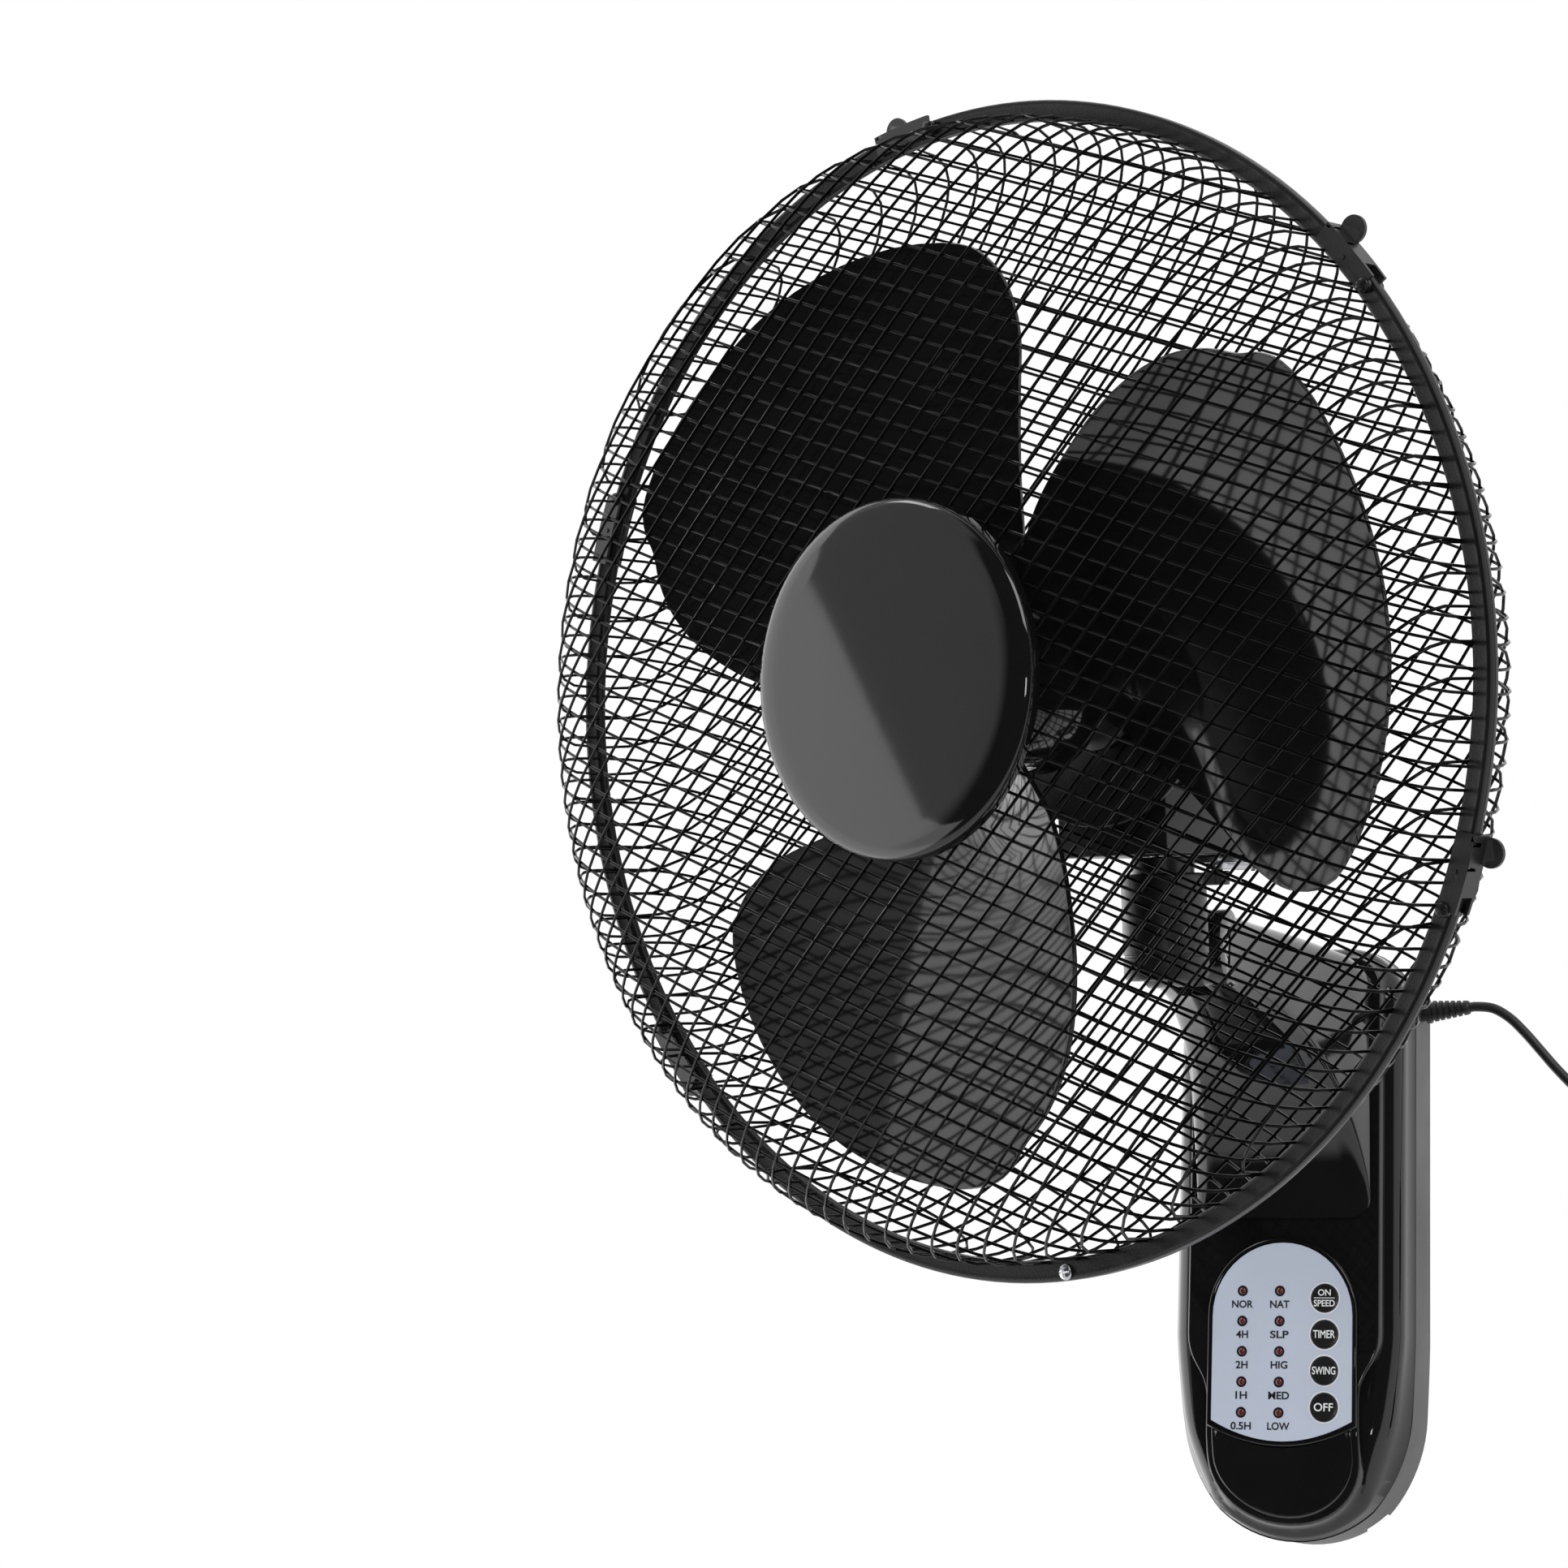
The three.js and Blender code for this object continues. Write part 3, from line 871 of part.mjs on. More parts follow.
// Two flat layers: in from the outside, then out again one cord further from the wall.
function coilPoint(turn) {
  const total = 2 * COIL_TURNS;
  const inward = turn <= COIL_TURNS;
  const radius = COIL_OUTER - CORD_TURN_PITCH * (inward ? turn : total - turn);
  const climb = THREE.MathUtils.smoothstep(turn, COIL_TURNS - 0.25, COIL_TURNS + 0.25);
  const angle = Math.PI / 2 - 2 * Math.PI * turn;
  return new THREE.Vector3(COIL_CENTRE.x + radius * Math.cos(angle),
    COIL_CENTRE.y + CORD_TURN_PITCH * (0.5 - climb), COIL_CENTRE.z + radius * Math.sin(angle));
}

function cordCoil() {
  const sides = 6;
  const steps = Math.round(2 * COIL_TURNS * 21);
  const turns = [...Array(steps + 1).keys()].map((i) => coilPoint((2 * COIL_TURNS * i) / steps));
  const straight = new THREE.Vector3(COIL_LEAD_IN, 0, 0);
  const centres = [turns[0].clone().sub(straight), ...turns, turns[steps].clone().sub(straight)];
  let least = Infinity;
  for (let i = 0; i < centres.length; i += 1) {
    for (let j = i + 12; j < centres.length; j += 1) least = Math.min(least, centres[i].distanceTo(centres[j]));
  }
  console.log(`coil: least gap between turns ${(least - 2 * CORD_RADIUS).toFixed(2)} mm`);
  const wall = new THREE.Vector3(0, 1, 0);
  return loft(centres.map((centre, i) => {
    const ahead = centres[Math.min(i + 1, centres.length - 1)];
    const tangent = ahead.clone().sub(centres[Math.max(i - 1, 0)]).normalize();
    const side = tangent.clone().cross(wall).normalize();
    const up = side.clone().cross(tangent);
    return [...Array(sides).keys()].map((k) => centre.clone()
      .addScaledVector(side, CORD_RADIUS * Math.cos((2 * Math.PI * k) / sides))
      .addScaledVector(up, CORD_RADIUS * Math.sin((2 * Math.PI * k) / sides)));
  }));
}

function buildCord(root) {
  const wallInside = BASE_CORNER - SHELL_WALL - 1.5;
  const outside = BASE_CORNER + GAP;
  const tip = BASE_CORNER + GLAND_LENGTH;
  const gland = atCorner(turned([[0, wallInside - 3], [GLAND_RADIUS, wallInside - 3], [GLAND_RADIUS, wallInside],
    [GLAND_RADIUS - 1, wallInside], [GLAND_RADIUS - 1, outside], [GLAND_RADIUS, outside],
    [GLAND_RADIUS - 0.4, outside + 5], [CORD_RADIUS + 0.8, tip], [0, tip]], 12)
    .rotate([0, 0, -90]).translate([0, CORD_Y, 0]));
  named('cord_gland', gland, CORD_BLACK, root);
  named('cord_lead', tubeAlong(cordRoute(), 18, 8), CORD_BLACK, root);
  named('cord_coil', cordCoil(), CORD_BLACK, root);
  named('cord_tail', tubeAlong(tailRoute(), 9, 8), CORD_BLACK, root);

  const c = COIL_CENTRE;
  const bundle = { x: [COIL_OUTER - CORD_TURN_PITCH * (COIL_TURNS - 0.5) - CORD_RADIUS - 0.6,
    COIL_OUTER - CORD_TURN_PITCH / 4 + CORD_RADIUS + 0.6], y: CORD_TURN_PITCH / 2 + CORD_RADIUS };
  const hole = boxSolid([bundle.x[0], bundle.x[1]], [-bundle.y - 0.4, bundle.y + 0.4], [-8, 8]);
  const band = boxSolid([bundle.x[0] - 1.2, bundle.x[1] + 1.2], [-bundle.y - 1.6, bundle.y + 1.6], [-3, 3]);
  named('cord_tie', band.subtract(hole).translate([c.x, c.y, c.z]), SATIN_BLACK, root);

  const [x, y, z] = TAIL_END;
  const grip = loft([[0, 3.2, 3.2], [10, 4, 4], [14, 10, 6.5], [30, 13, 7], [40, 13, 7]].map(([drop, w, d]) => (
    [...Array(12).keys()].map((k) => new THREE.Vector3(x + w * Math.cos((k * Math.PI) / 6),
      y + d * Math.sin((k * Math.PI) / 6), z - GAP - drop)))));
  const pins = [-9.5, 9.5].map((offset) => rodSolid('z', 2, z - GAP - 59, z - GAP - 39, [x + offset, y], 12));
  named('mains_plug', joined([grip, ...pins]), CORD_BLACK, root);
}

// ---- Assembly ----
const fan = new THREE.Group();
buildBase(fan);
const tilt = new THREE.Group();
tilt.position.set(0, -PIVOT_REACH, PIVOT_HEIGHT);
tilt.rotation.x = rad(TILT_REST);
fan.add(tilt);
buildNeck(tilt);
const head = new THREE.Group();
head.position.set(0, -NECK_OFFSET, MOTOR_HEIGHT);
head.rotation.z = rad(SWING_REST);
tilt.add(head);
buildMotor(head);
buildGuards(head);
buildFasteners(head);
const rotor = new THREE.Group();
rotor.rotation.y = -rad(ROTOR_REST);
head.add(rotor);
buildRotor(rotor);
buildCord(fan);

export default fan;
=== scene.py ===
# A wall mounted fan with a wire cage, in metres, +Z up. The wall is at y = 0 and the fan faces -Y.
# Sizes in the dictionaries are millimetres and degrees, as on a drawing; mm turns them into metres.
import json
import math

import bpy
from mathutils import Matrix, Vector

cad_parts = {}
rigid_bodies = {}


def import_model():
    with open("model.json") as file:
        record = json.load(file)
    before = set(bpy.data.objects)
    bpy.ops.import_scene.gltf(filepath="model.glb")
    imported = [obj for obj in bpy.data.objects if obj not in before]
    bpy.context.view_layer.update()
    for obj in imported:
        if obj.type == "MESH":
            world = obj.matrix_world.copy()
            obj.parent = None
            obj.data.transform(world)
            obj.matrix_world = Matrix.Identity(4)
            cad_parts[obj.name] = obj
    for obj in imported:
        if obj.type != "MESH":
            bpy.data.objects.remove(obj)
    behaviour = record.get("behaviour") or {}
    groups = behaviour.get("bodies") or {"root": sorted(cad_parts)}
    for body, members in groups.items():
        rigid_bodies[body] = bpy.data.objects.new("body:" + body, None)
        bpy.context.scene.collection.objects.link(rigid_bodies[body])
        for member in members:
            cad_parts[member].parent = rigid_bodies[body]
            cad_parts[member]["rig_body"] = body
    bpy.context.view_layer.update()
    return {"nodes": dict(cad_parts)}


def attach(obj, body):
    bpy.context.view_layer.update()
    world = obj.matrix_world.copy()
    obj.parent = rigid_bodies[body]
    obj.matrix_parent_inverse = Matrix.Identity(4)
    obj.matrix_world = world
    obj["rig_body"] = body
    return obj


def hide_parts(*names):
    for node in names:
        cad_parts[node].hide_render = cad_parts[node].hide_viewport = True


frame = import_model()
nodes = frame["nodes"]
mm = 0.001
print("frame loaded:", len(nodes), "nodes")

pose = {"pivotReach": 208, "pivotHeight": 94, "tilt": 12, "neckOffset": 33.5, "motorHeight": 102,
        "swing": -21, "rotorTurn": -9}


def turnedBy(degrees, axis):
    return Matrix.Rotation(math.radians(degrees), 4, axis)


def movedBy(x, y, z):
    return Matrix.Translation((x * mm, y * mm, z * mm))


def linked(name, data):
    thing = bpy.data.objects.new(name, data)
    bpy.context.scene.collection.objects.link(thing)
    return thing


neckPlace = movedBy(0, -pose["pivotReach"], pose["pivotHeight"]) @ turnedBy(pose["tilt"], "X")
headPlace = neckPlace @ movedBy(0, -pose["neckOffset"], pose["motorHeight"]) @ turnedBy(pose["swing"], "Z")
rotorPlace = headPlace @ turnedBy(pose["rotorTurn"], "Y")

# The camera stands below the fan, to its right, and looks up at it.
cameraView = {"frame": 1932, "focalPixels": 4447.6, "axisPixel": (1200, 600), "sensor": 36.0,
              "azimuth": 20.384, "elevation": -18.546, "roll": 2.412, "place": (413.6, -1594.3, -197.1)}


def makeCamera():
    v = cameraView
    data = bpy.data.cameras.new("photoCamera")
    data.sensor_width = v["sensor"]
    data.lens = v["focalPixels"] * v["sensor"] / v["frame"]
    data.shift_x = (v["frame"] / 2 - v["axisPixel"][0]) / v["frame"]
    data.shift_y = (v["axisPixel"][1] - v["frame"] / 2) / v["frame"]
    camera = linked("photoCamera", data)
    a, e, roll = (math.radians(v[k]) for k in ("azimuth", "elevation", "roll"))
    back = Vector((math.sin(a) * math.cos(e), -math.cos(a) * math.cos(e), math.sin(e)))
    right = Vector((math.cos(a), math.sin(a), 0))
    up = back.cross(right)
    across = math.cos(roll) * right + math.sin(roll) * up
    upward = math.cos(roll) * up - math.sin(roll) * right
    turn = Matrix((across, upward, back)).transposed().to_4x4()
    camera.matrix_world = Matrix.Translation(Vector(v["place"]) * mm) @ turn
    data.clip_start, data.clip_end = 0.05, 20
    bpy.context.scene.camera = camera


makeCamera()
print("camera set")


# Mesh work, each step done on the piece that is selected.
def alone(piece):
    bpy.ops.object.select_all(action="DESELECT")
    piece.select_set(True)
    bpy.context.view_layer.objects.active = piece


def newPiece(name, points, faces=(), edges=()):
    mesh = bpy.data.meshes.new(name)
    mesh.from_pydata([Vector(p) * mm for p in points], edges, faces)
    piece = linked(name, mesh)
    alone(piece)
    return piece


def edit(piece, *steps):
    alone(piece)
    bpy.ops.object.mode_set(mode="EDIT")
    for step in steps:
        step()
    bpy.ops.object.mode_set(mode="OBJECT")


def selectAll():
    bpy.ops.mesh.select_all(action="SELECT")


def mend():
    selectAll()
    bpy.ops.mesh.remove_doubles(threshold=1e-6)
    bpy.ops.mesh.normals_make_consistent(inside=False)


def modified(piece, kind, **settings):
    alone(piece)
    modifier = piece.modifiers.new(kind.lower(), kind)
    for key, value in settings.items():
        setattr(modifier, key, value)
    bpy.ops.object.modifier_apply(modifier=modifier.name)
    return piece


def rounded(piece, width, segments=3, angle=35):
    return modified(piece, "BEVEL", width=width * mm, segments=segments, limit_method="ANGLE",
                    angle_limit=math.radians(angle))


def joinedInto(piece, *others):
    alone(piece)
    for other in others:
        other.select_set(True)
    bpy.ops.object.join()
    return piece


def carved(piece, *cutters, operation="DIFFERENCE"):
    for cutter in cutters:
        modified(piece, "BOOLEAN", object=cutter, operation=operation, solver="EXACT")
        bpy.data.objects.remove(cutter)
    edit(piece, mend)
    return piece


def placed(piece, place):
    piece.data.transform(place)
    piece.data.update()
    return piece


def copied(piece, name):
    copy = piece.copy()
    copy.data = piece.data.copy()
    copy.name = copy.data.name = name
    bpy.context.scene.collection.objects.link(copy)
    return copy


def spun(name, outline, steps=96):
    # An outline of (radius, y) turned round the Y axis; it is a closed ring unless it starts on the axis.
    points = [(r, y, 0) for r, y in outline]
    edges = [(i, i + 1) for i in range(len(points) - 1)]
    if outline[0][0] > 0:
        edges.append((len(points) - 1, 0))
    piece = newPiece(name, points, edges=edges)
    edit(piece, selectAll,
         lambda: bpy.ops.mesh.spin(steps=steps, angle=2 * math.pi, center=(0, 0, 0), axis=(0, 1, 0)), mend)
    return piece


def plate(name, outline, y, *insets):
    # A face on an outline of (x, z), pulled forward and in by inset steps of (thickness, depth).
    points = [(x, y, z) for x, z in outline]
    area = sum(a[0] * b[2] - b[0] * a[2] for a, b in zip(points, points[1:] + points[:1]))
    order = range(len(points)) if area > 0 else range(len(points) - 1, -1, -1)
    piece = newPiece(name, points, [tuple(order)])
    edit(piece, selectAll)
    for thickness, depth in insets:
        edit(piece, lambda t=thickness, d=depth: bpy.ops.mesh.inset(thickness=t * mm, depth=d * mm))
    edit(piece, lambda: bpy.ops.mesh.select_all(action="DESELECT"), closeBack, mend)
    return piece


def closeBack():
    bpy.ops.mesh.select_mode(type="EDGE")
    bpy.ops.mesh.select_non_manifold(extend=False, use_wire=False, use_boundary=True, use_multi_face=False,
                                     use_non_contiguous=False, use_verts=False)
    bpy.ops.mesh.edge_face_add()
    bpy.ops.mesh.select_mode(type="VERT")


def settled(name):
    # The primitive just added, with its size and place worked into its mesh.
    piece = bpy.context.object
    piece.name = piece.data.name = name
    bpy.ops.object.transform_apply()
    return piece


def rod(name, radius, start, end, middle=(0, 0), axis="Y", sides=32):
    k = "XYZ".index(axis)
    centre = (*middle[:k], (start + end) / 2, *middle[k:])
    turn = ((0, math.pi / 2, 0), (math.pi / 2, 0, 0), (0, 0, 0))[k]
    bpy.ops.mesh.primitive_cylinder_add(vertices=sides, radius=radius * mm, depth=(end - start) * mm, rotation=turn,
                                        location=[c * mm for c in centre])
    return settled(name)


def block(name, x, y, z):
    bpy.ops.mesh.primitive_cube_add(size=1, location=[sum(span) / 2 * mm for span in (x, y, z)],
                                    scale=[(span[1] - span[0]) * mm for span in (x, y, z)])
    return settled(name)


def skinned(name, rings):
    # Quads between rings of equal count, with an n-sided face at each end.
    count = len(rings[0])
    points = [p for ring in rings for p in ring]
    faces = [(s * count + i, s * count + (i + 1) % count, (s + 1) * count + (i + 1) % count, (s + 1) * count + i)
             for s in range(len(rings) - 1) for i in range(count)]
    faces += [tuple(range(count)), tuple(range(len(points) - count, len(points)))]
    piece = newPiece(name, points, faces)
    edit(piece, mend)
    return piece


def tubes(name, runs, radius, resolution):
    # Round tubes with closed ends, one along each run of points.
    curve = bpy.data.curves.new(name, "CURVE")
    curve.dimensions, curve.use_fill_caps = "3D", True
    curve.bevel_depth, curve.bevel_resolution = radius * mm, resolution
    for run in runs:
        spline = curve.splines.new("POLY")
        spline.points.add(len(run) - 1)
        for point, p in zip(spline.points, run):
            point.co = (p[0] * mm, p[1] * mm, p[2] * mm, 1)
    alone(linked(name, curve))
    bpy.ops.object.convert(target="MESH")
    return bpy.context.object


def clamped(value):
    return min(max(value, 0), 1)


def through(values, steps):
    # Points on a Catmull-Rom curve through tuples of numbers, with steps between each two.
    out = []
    for i in range(len(values) - 1):
        a, b, c, d = values[max(i - 1, 0)], values[i], values[i + 1], values[min(i + 2, len(values) - 1)]
        for k in range(steps):
            t = k / steps
            out.append(tuple(0.5 * (2 * q + (r - p) * t + (2 * p - 5 * q + 4 * r - s) * t * t
                                    + (3 * q - p - 3 * r + s) * t ** 3) for p, q, r, s in zip(a, b, c, d)))
    return out + [tuple(values[-1])]


# Materials: each has its own colour drift, roughness drift and surface grain, on Object coordinates.
def surface(name, color, roughness, grain, grainScale=2500, metallic=0.0, drift=0.15, driftScale=40,
            smear=0.25, smearScale=25, speckle=0.0, coat=0.0, specular=0.5):
    material = bpy.data.materials.new(name)
    material.use_nodes = True
    tree = material.node_tree
    add, link = tree.nodes.new, tree.links.new
    shader = tree.nodes["Principled BSDF"]
    shader.inputs["Metallic"].default_value = metallic
    shader.inputs["Specular IOR Level"].default_value = specular
    shader.inputs["Coat Weight"].default_value = coat
    place = add("ShaderNodeTexCoord")

    def noise(scale, detail=3):
        node = add("ShaderNodeTexNoise")
        node.inputs["Scale"].default_value = scale
        node.inputs["Detail"].default_value = detail
        link(place.outputs["Object"], node.inputs["Vector"])
        return node.outputs["Fac"]

    ramp = add("ShaderNodeValToRGB")
    dark, pale = ramp.color_ramp.elements
    dark.position, pale.position = 0.3, 0.7
    dark.color = (*[c * (1 - drift) for c in color], 1)
    pale.color = (*[c * (1 + drift) + speckle for c in color], 1)
    link(noise(driftScale), ramp.inputs["Fac"])
    link(ramp.outputs["Color"], shader.inputs["Base Color"])
    spread = add("ShaderNodeMapRange")
    spread.inputs["To Min"].default_value = roughness * (1 - smear)
    spread.inputs["To Max"].default_value = roughness * (1 + smear)
    link(noise(smearScale, 5), spread.inputs["Value"])
    link(spread.outputs["Result"], shader.inputs["Roughness"])
    if grain:
        bump = add("ShaderNodeBump")
        bump.inputs["Strength"].default_value = grain
        bump.inputs["Distance"].default_value = 0.0002
        link(noise(grainScale, 2), bump.inputs["Height"])
        link(bump.outputs["Normal"], shader.inputs["Normal"])
    return material


looks = {
    "gloss": surface("glossBlackPlastic", (0.0045, 0.0045, 0.005), 0.045, 0.012, 140, smear=0.35),
    "blade": surface("bladePlastic", (0.006, 0.006, 0.0065), 0.06, 0.015, 90, smear=0.4, specular=0.32),
    "satin": surface("satinBlackPlastic", (0.011, 0.011, 0.012), 0.36, 0.25, 2200),
    "rim": surface("coatedSteelRim", (0.006, 0.006, 0.0065), 0.27, 0.3, 1600, speckle=0.0035, specular=0.25),
    "wire": surface("coatedSteelWire", (0.0025, 0.0025, 0.0028), 0.14, 0.1, 900, drift=0.3, specular=0.06),
    "grey": surface("greyMouldedPlastic", (0.035, 0.035, 0.038), 0.46, 0.3, 2600),
    "silver": surface("silverFilm", (0.46, 0.51, 0.61), 0.4, 0.12, 4200, drift=0.04, driftScale=18),
    "lampRed": surface("redLens", (0.085, 0.008, 0.009), 0.16, 0, drift=0.4, driftScale=700, coat=0.6),
    "button": surface("buttonPlastic", (0.010, 0.010, 0.011), 0.3, 0.2, 3000),
    "whitePrint": surface("whitePrint", (0.72, 0.73, 0.74), 0.5, 0.1, drift=0.05),
    "darkPrint": surface("darkPrint", (0.012, 0.013, 0.02), 0.5, 0.1),
    "steel": surface("platedSteel", (0.52, 0.53, 0.55), 0.28, 0.2, 1500, metallic=1.0),
    "core": surface("stackedSheetSteel", (0.2, 0.2, 0.21), 0.45, 0.4, 700, metallic=0.9, drift=0.3),
    "copper": surface("enamelledCopper", (0.42, 0.13, 0.05), 0.3, 0.6, 900, metallic=0.9, drift=0.3, driftScale=300),
    "brass": surface("oiledBronze", (0.45, 0.32, 0.13), 0.35, 0.2, 1200, metallic=1.0),
    "board": surface("boardGreen", (0.012, 0.07, 0.03), 0.35, 0.2, drift=0.3, driftScale=250),
    "sleeve": surface("shrinkSleeve", (0.02, 0.02, 0.022), 0.3, 0.1, 400),
    "cord": surface("cordSheath", (0.010, 0.010, 0.0105), 0.42, 0.25, 1400),
    "tie": surface("tieSteelCore", (0.02, 0.02, 0.022), 0.5, 0.3, 1500),
}
print("materials made:", len(looks))


def shaded(piece, angle):
    # Smooth across edges below the angle.
    alone(piece)
    bpy.ops.object.shade_smooth_by_angle(angle=math.radians(angle))
    return piece


def finished(piece, angle, look, body, slot, *replaced):
    # Shaded, unless the angle is 0, and given its material and body.
    if angle:
        shaded(piece, angle)
    piece.data.materials.clear()
    piece.data.materials.append(looks[look])
    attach(piece, body)
    if replaced:
        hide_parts(*replaced)
    return piece


# Base on the wall: a grey back tray and a glossy front shell with a raised, narrowing face.
base = {"width": 106, "height": 257, "corner": 28, "backDepth": 30, "flankDepth": 53, "faceDepth": 57.5,
        "wall": 2.6, "footStretch": 1.02, "footSteps": 40, "cornerSteps": 10, "keyhole": 5, "slot": 4.4,
        "keyholeAt": (86, -86), "screws": ((0, 112), (-38, -74), (38, -74)), "boss": 3.9, "notch": (-132, -108.5),
        "droopStart": -84, "droopDepth": 20, "droopPower": 1.4, "faceRise": 23, "flankStart": -42, "flankFrom": 34,
        "flankWidth": 19, "flankTaper": 18, "flankPower": 1.3, "edgeRound": 11, "edgeSteps": 9}
gap = 0.3
face = {"width": 84, "tongue": 62, "rim": 2.2, "neckHeight": -44, "narrowHeight": -70, "corner": 16,
        "topInset": 9, "footInset": 7, "footCurve": 14, "footRise": 24}
panel = {"top": -4.5, "bottom": -79.5, "crown": 8.5, "steps": 24, "bowSteps": 20, "proud": 0.45, "lipWidth": 2.2}


def arc(cx, cz, radius, start, end, steps, stretch=1.0):
    return [(cx + radius * math.cos(math.radians(start + (end - start) * i / steps)),
             cz + radius * stretch * math.sin(math.radians(start + (end - start) * i / steps)))
            for i in range(steps + 1)]


def bezier(a, b, c, d, steps=12):
    out = []
    for i in range(steps + 1):
        t = i / steps
        w = ((1 - t) ** 3, 3 * (1 - t) ** 2 * t, 3 * (1 - t) * t * t, t ** 3)
        out.append(tuple(sum(k * p[n] for k, p in zip(w, (a, b, c, d))) for n in (0, 1)))
    return out


def baseOutline(inset=0.0):
    w, top, corner = base["width"] / 2 - inset, base["height"] / 2 - inset, base["corner"] - inset
    footTop = (-base["height"] + base["width"] * base["footStretch"]) / 2
    drop = base["width"] / 2 * base["footStretch"] - inset
    return (arc(0, footTop, w, 180, 360, base["footSteps"], drop / w)
            + arc(w - corner, top - corner, corner, 0, 90, base["cornerSteps"])
            + arc(-w + corner, top - corner, corner, 90, 180, base["cornerSteps"]))


def faceOutline(grow=0.0):
    wide = face["width"] / 2 + grow
    narrow = face["tongue"] / 2 + face["rim"] + grow
    top = base["height"] / 2 - face["topInset"] + grow
    foot = -base["height"] / 2 + face["footInset"] - grow
    bendTop, bendFoot = face["neckHeight"] - 14, face["narrowHeight"] + 10
    low = face["narrowHeight"] - face["footRise"]
    right = (bezier((0, foot), (narrow * 0.6, foot), (narrow, foot + face["footCurve"]), (narrow, low))
             + bezier((narrow, face["narrowHeight"]), (narrow, bendFoot), (wide, bendTop), (wide, face["neckHeight"]))
             + arc(wide - face["corner"], top - face["corner"], face["corner"], 0, 90, 8))
    left = [(-x, z) for x, z in reversed(right[1:])]
    return right + left


def bow(half, height):
    # The panel's sagging lower edge, from left to right.
    shares = [i / panel["bowSteps"] for i in range(panel["bowSteps"] + 1)]
    return [(half * (2 * share - 1), height - panel["crown"] * 4 * share * (1 - share)) for share in shares]


def panelOutline(grow=0.0):
    w, centre = face["tongue"] / 2 + grow, panel["top"] - face["tongue"] / 2
    return bow(w, panel["bottom"] - grow) + arc(0, centre, w, 0, 180, panel["steps"])


def windowOutline(inset=0.0):
    w, top = face["tongue"] / 2 - inset, panel["bottom"] - face["rim"] - inset
    foot = -base["height"] / 2 + 9.5 + inset
    left = bezier((-w, top - 12), (-w, foot + 12), (-w * 0.55, foot), (0, foot))
    right = bezier((0, foot), (w * 0.55, foot), (w, foot + 12), (w, top - 12))
    return bow(w, top)[::-1] + left + right[1:]


def sliced(piece, start, pitch, count):
    # Level cuts from a height downward, so that a flat face can bend.
    for i in range(count):
        edit(piece, selectAll,
             lambda z=start - pitch * i: bpy.ops.mesh.bisect(plane_co=(0, 0, z * mm), plane_no=(0, 0, 1)))


def drooped(piece):
    # The foot of the base is domed: its face falls back towards the wall and its flanks draw in.
    foot = base["height"] / 2
    for v in piece.data.vertices:
        x, y, z = v.co / mm
        front = clamped((-y - base["backDepth"]) / base["faceRise"])
        outer = clamped((abs(x) - base["flankFrom"]) / base["flankWidth"])
        low = max((base["flankStart"] - z) / (base["flankStart"] + foot), 0)
        taper = base["flankTaper"] * low ** base["flankPower"] * outer * (0.25 + 0.75 * front)
        v.co.x -= math.copysign(taper * mm, x)
        fall = max((base["droopStart"] - z) / (base["droopStart"] + foot), 0)
        v.co.y += base["droopDepth"] * fall ** base["droopPower"] * front * mm
    return piece


def makeBackTray():
    tray = plate("backTray", baseOutline(1.2), 0, (-0.7, 0.3), (-0.5, 0.9), (1, base["backDepth"] - 1.2),
                 (base["wall"], 0), (0, -(base["backDepth"] - base["wall"])))
    cutters, half = [], base["slot"] / 2
    for height in base["keyholeAt"]:
        cutters += [rod("cutter", base["keyhole"], -6, 2, (0, height), sides=48),
                    block("cutter", (-half, half), (-6, 2), (height, height + 10)),
                    rod("cutter", half, -6, 2, (0, height + 10), sides=24)]
    cutters += [rod("cutter", base["boss"], -8, 2, at) for at in base["screws"]]
    cutters += [block("cutter", x, (-4.5, 2), base["notch"]) for x in ((24, 34), (-34, -24))]
    carved(tray, *cutters)
    sliced(tray, base["flankStart"], 4, 9)
    drooped(tray)
    finished(rounded(tray, 0.4, 2, 50), 20, "grey", "base", "back_grey", "back_plate")
    for i, (x, z) in enumerate(base["screws"], 1):
        well = spun("screwWell%d" % i, [(base["boss"], 0), (5, 0), (5, -22), (base["boss"], -22)], 32)
        finished(placed(well, movedBy(x, -0.2, z)), 40, "grey", "base", "back_grey")


def makeFrontShell():
    flank, r = [(0.4, 0.6), (1.1, 11.1)], base["edgeRound"]
    for i in range(base["edgeSteps"]):
        a, b = (math.pi / 2 * k / base["edgeSteps"] for k in (i, i + 1))
        flank.append((r * (math.cos(a) - math.cos(b)), r * (math.sin(b) - math.sin(a))))
    shell = plate("frontShell", baseOutline(0.6), -base["backDepth"] - gap, *flank)
    crest = plate("crest", faceOutline(3.2), -base["flankDepth"] + 3, (1.6, 2.2), (0.9, 2.7), (0.3, 1.1),
                  (0.25, 0.4), (0.35, 0.25), (0.5, 0.1))
    carved(shell, crest, operation="UNION")
    sliced(shell, base["flankStart"], 3, 28)
    drooped(shell)
    finished(shell, 32, "gloss", "base", "gloss_black", "front_shell")


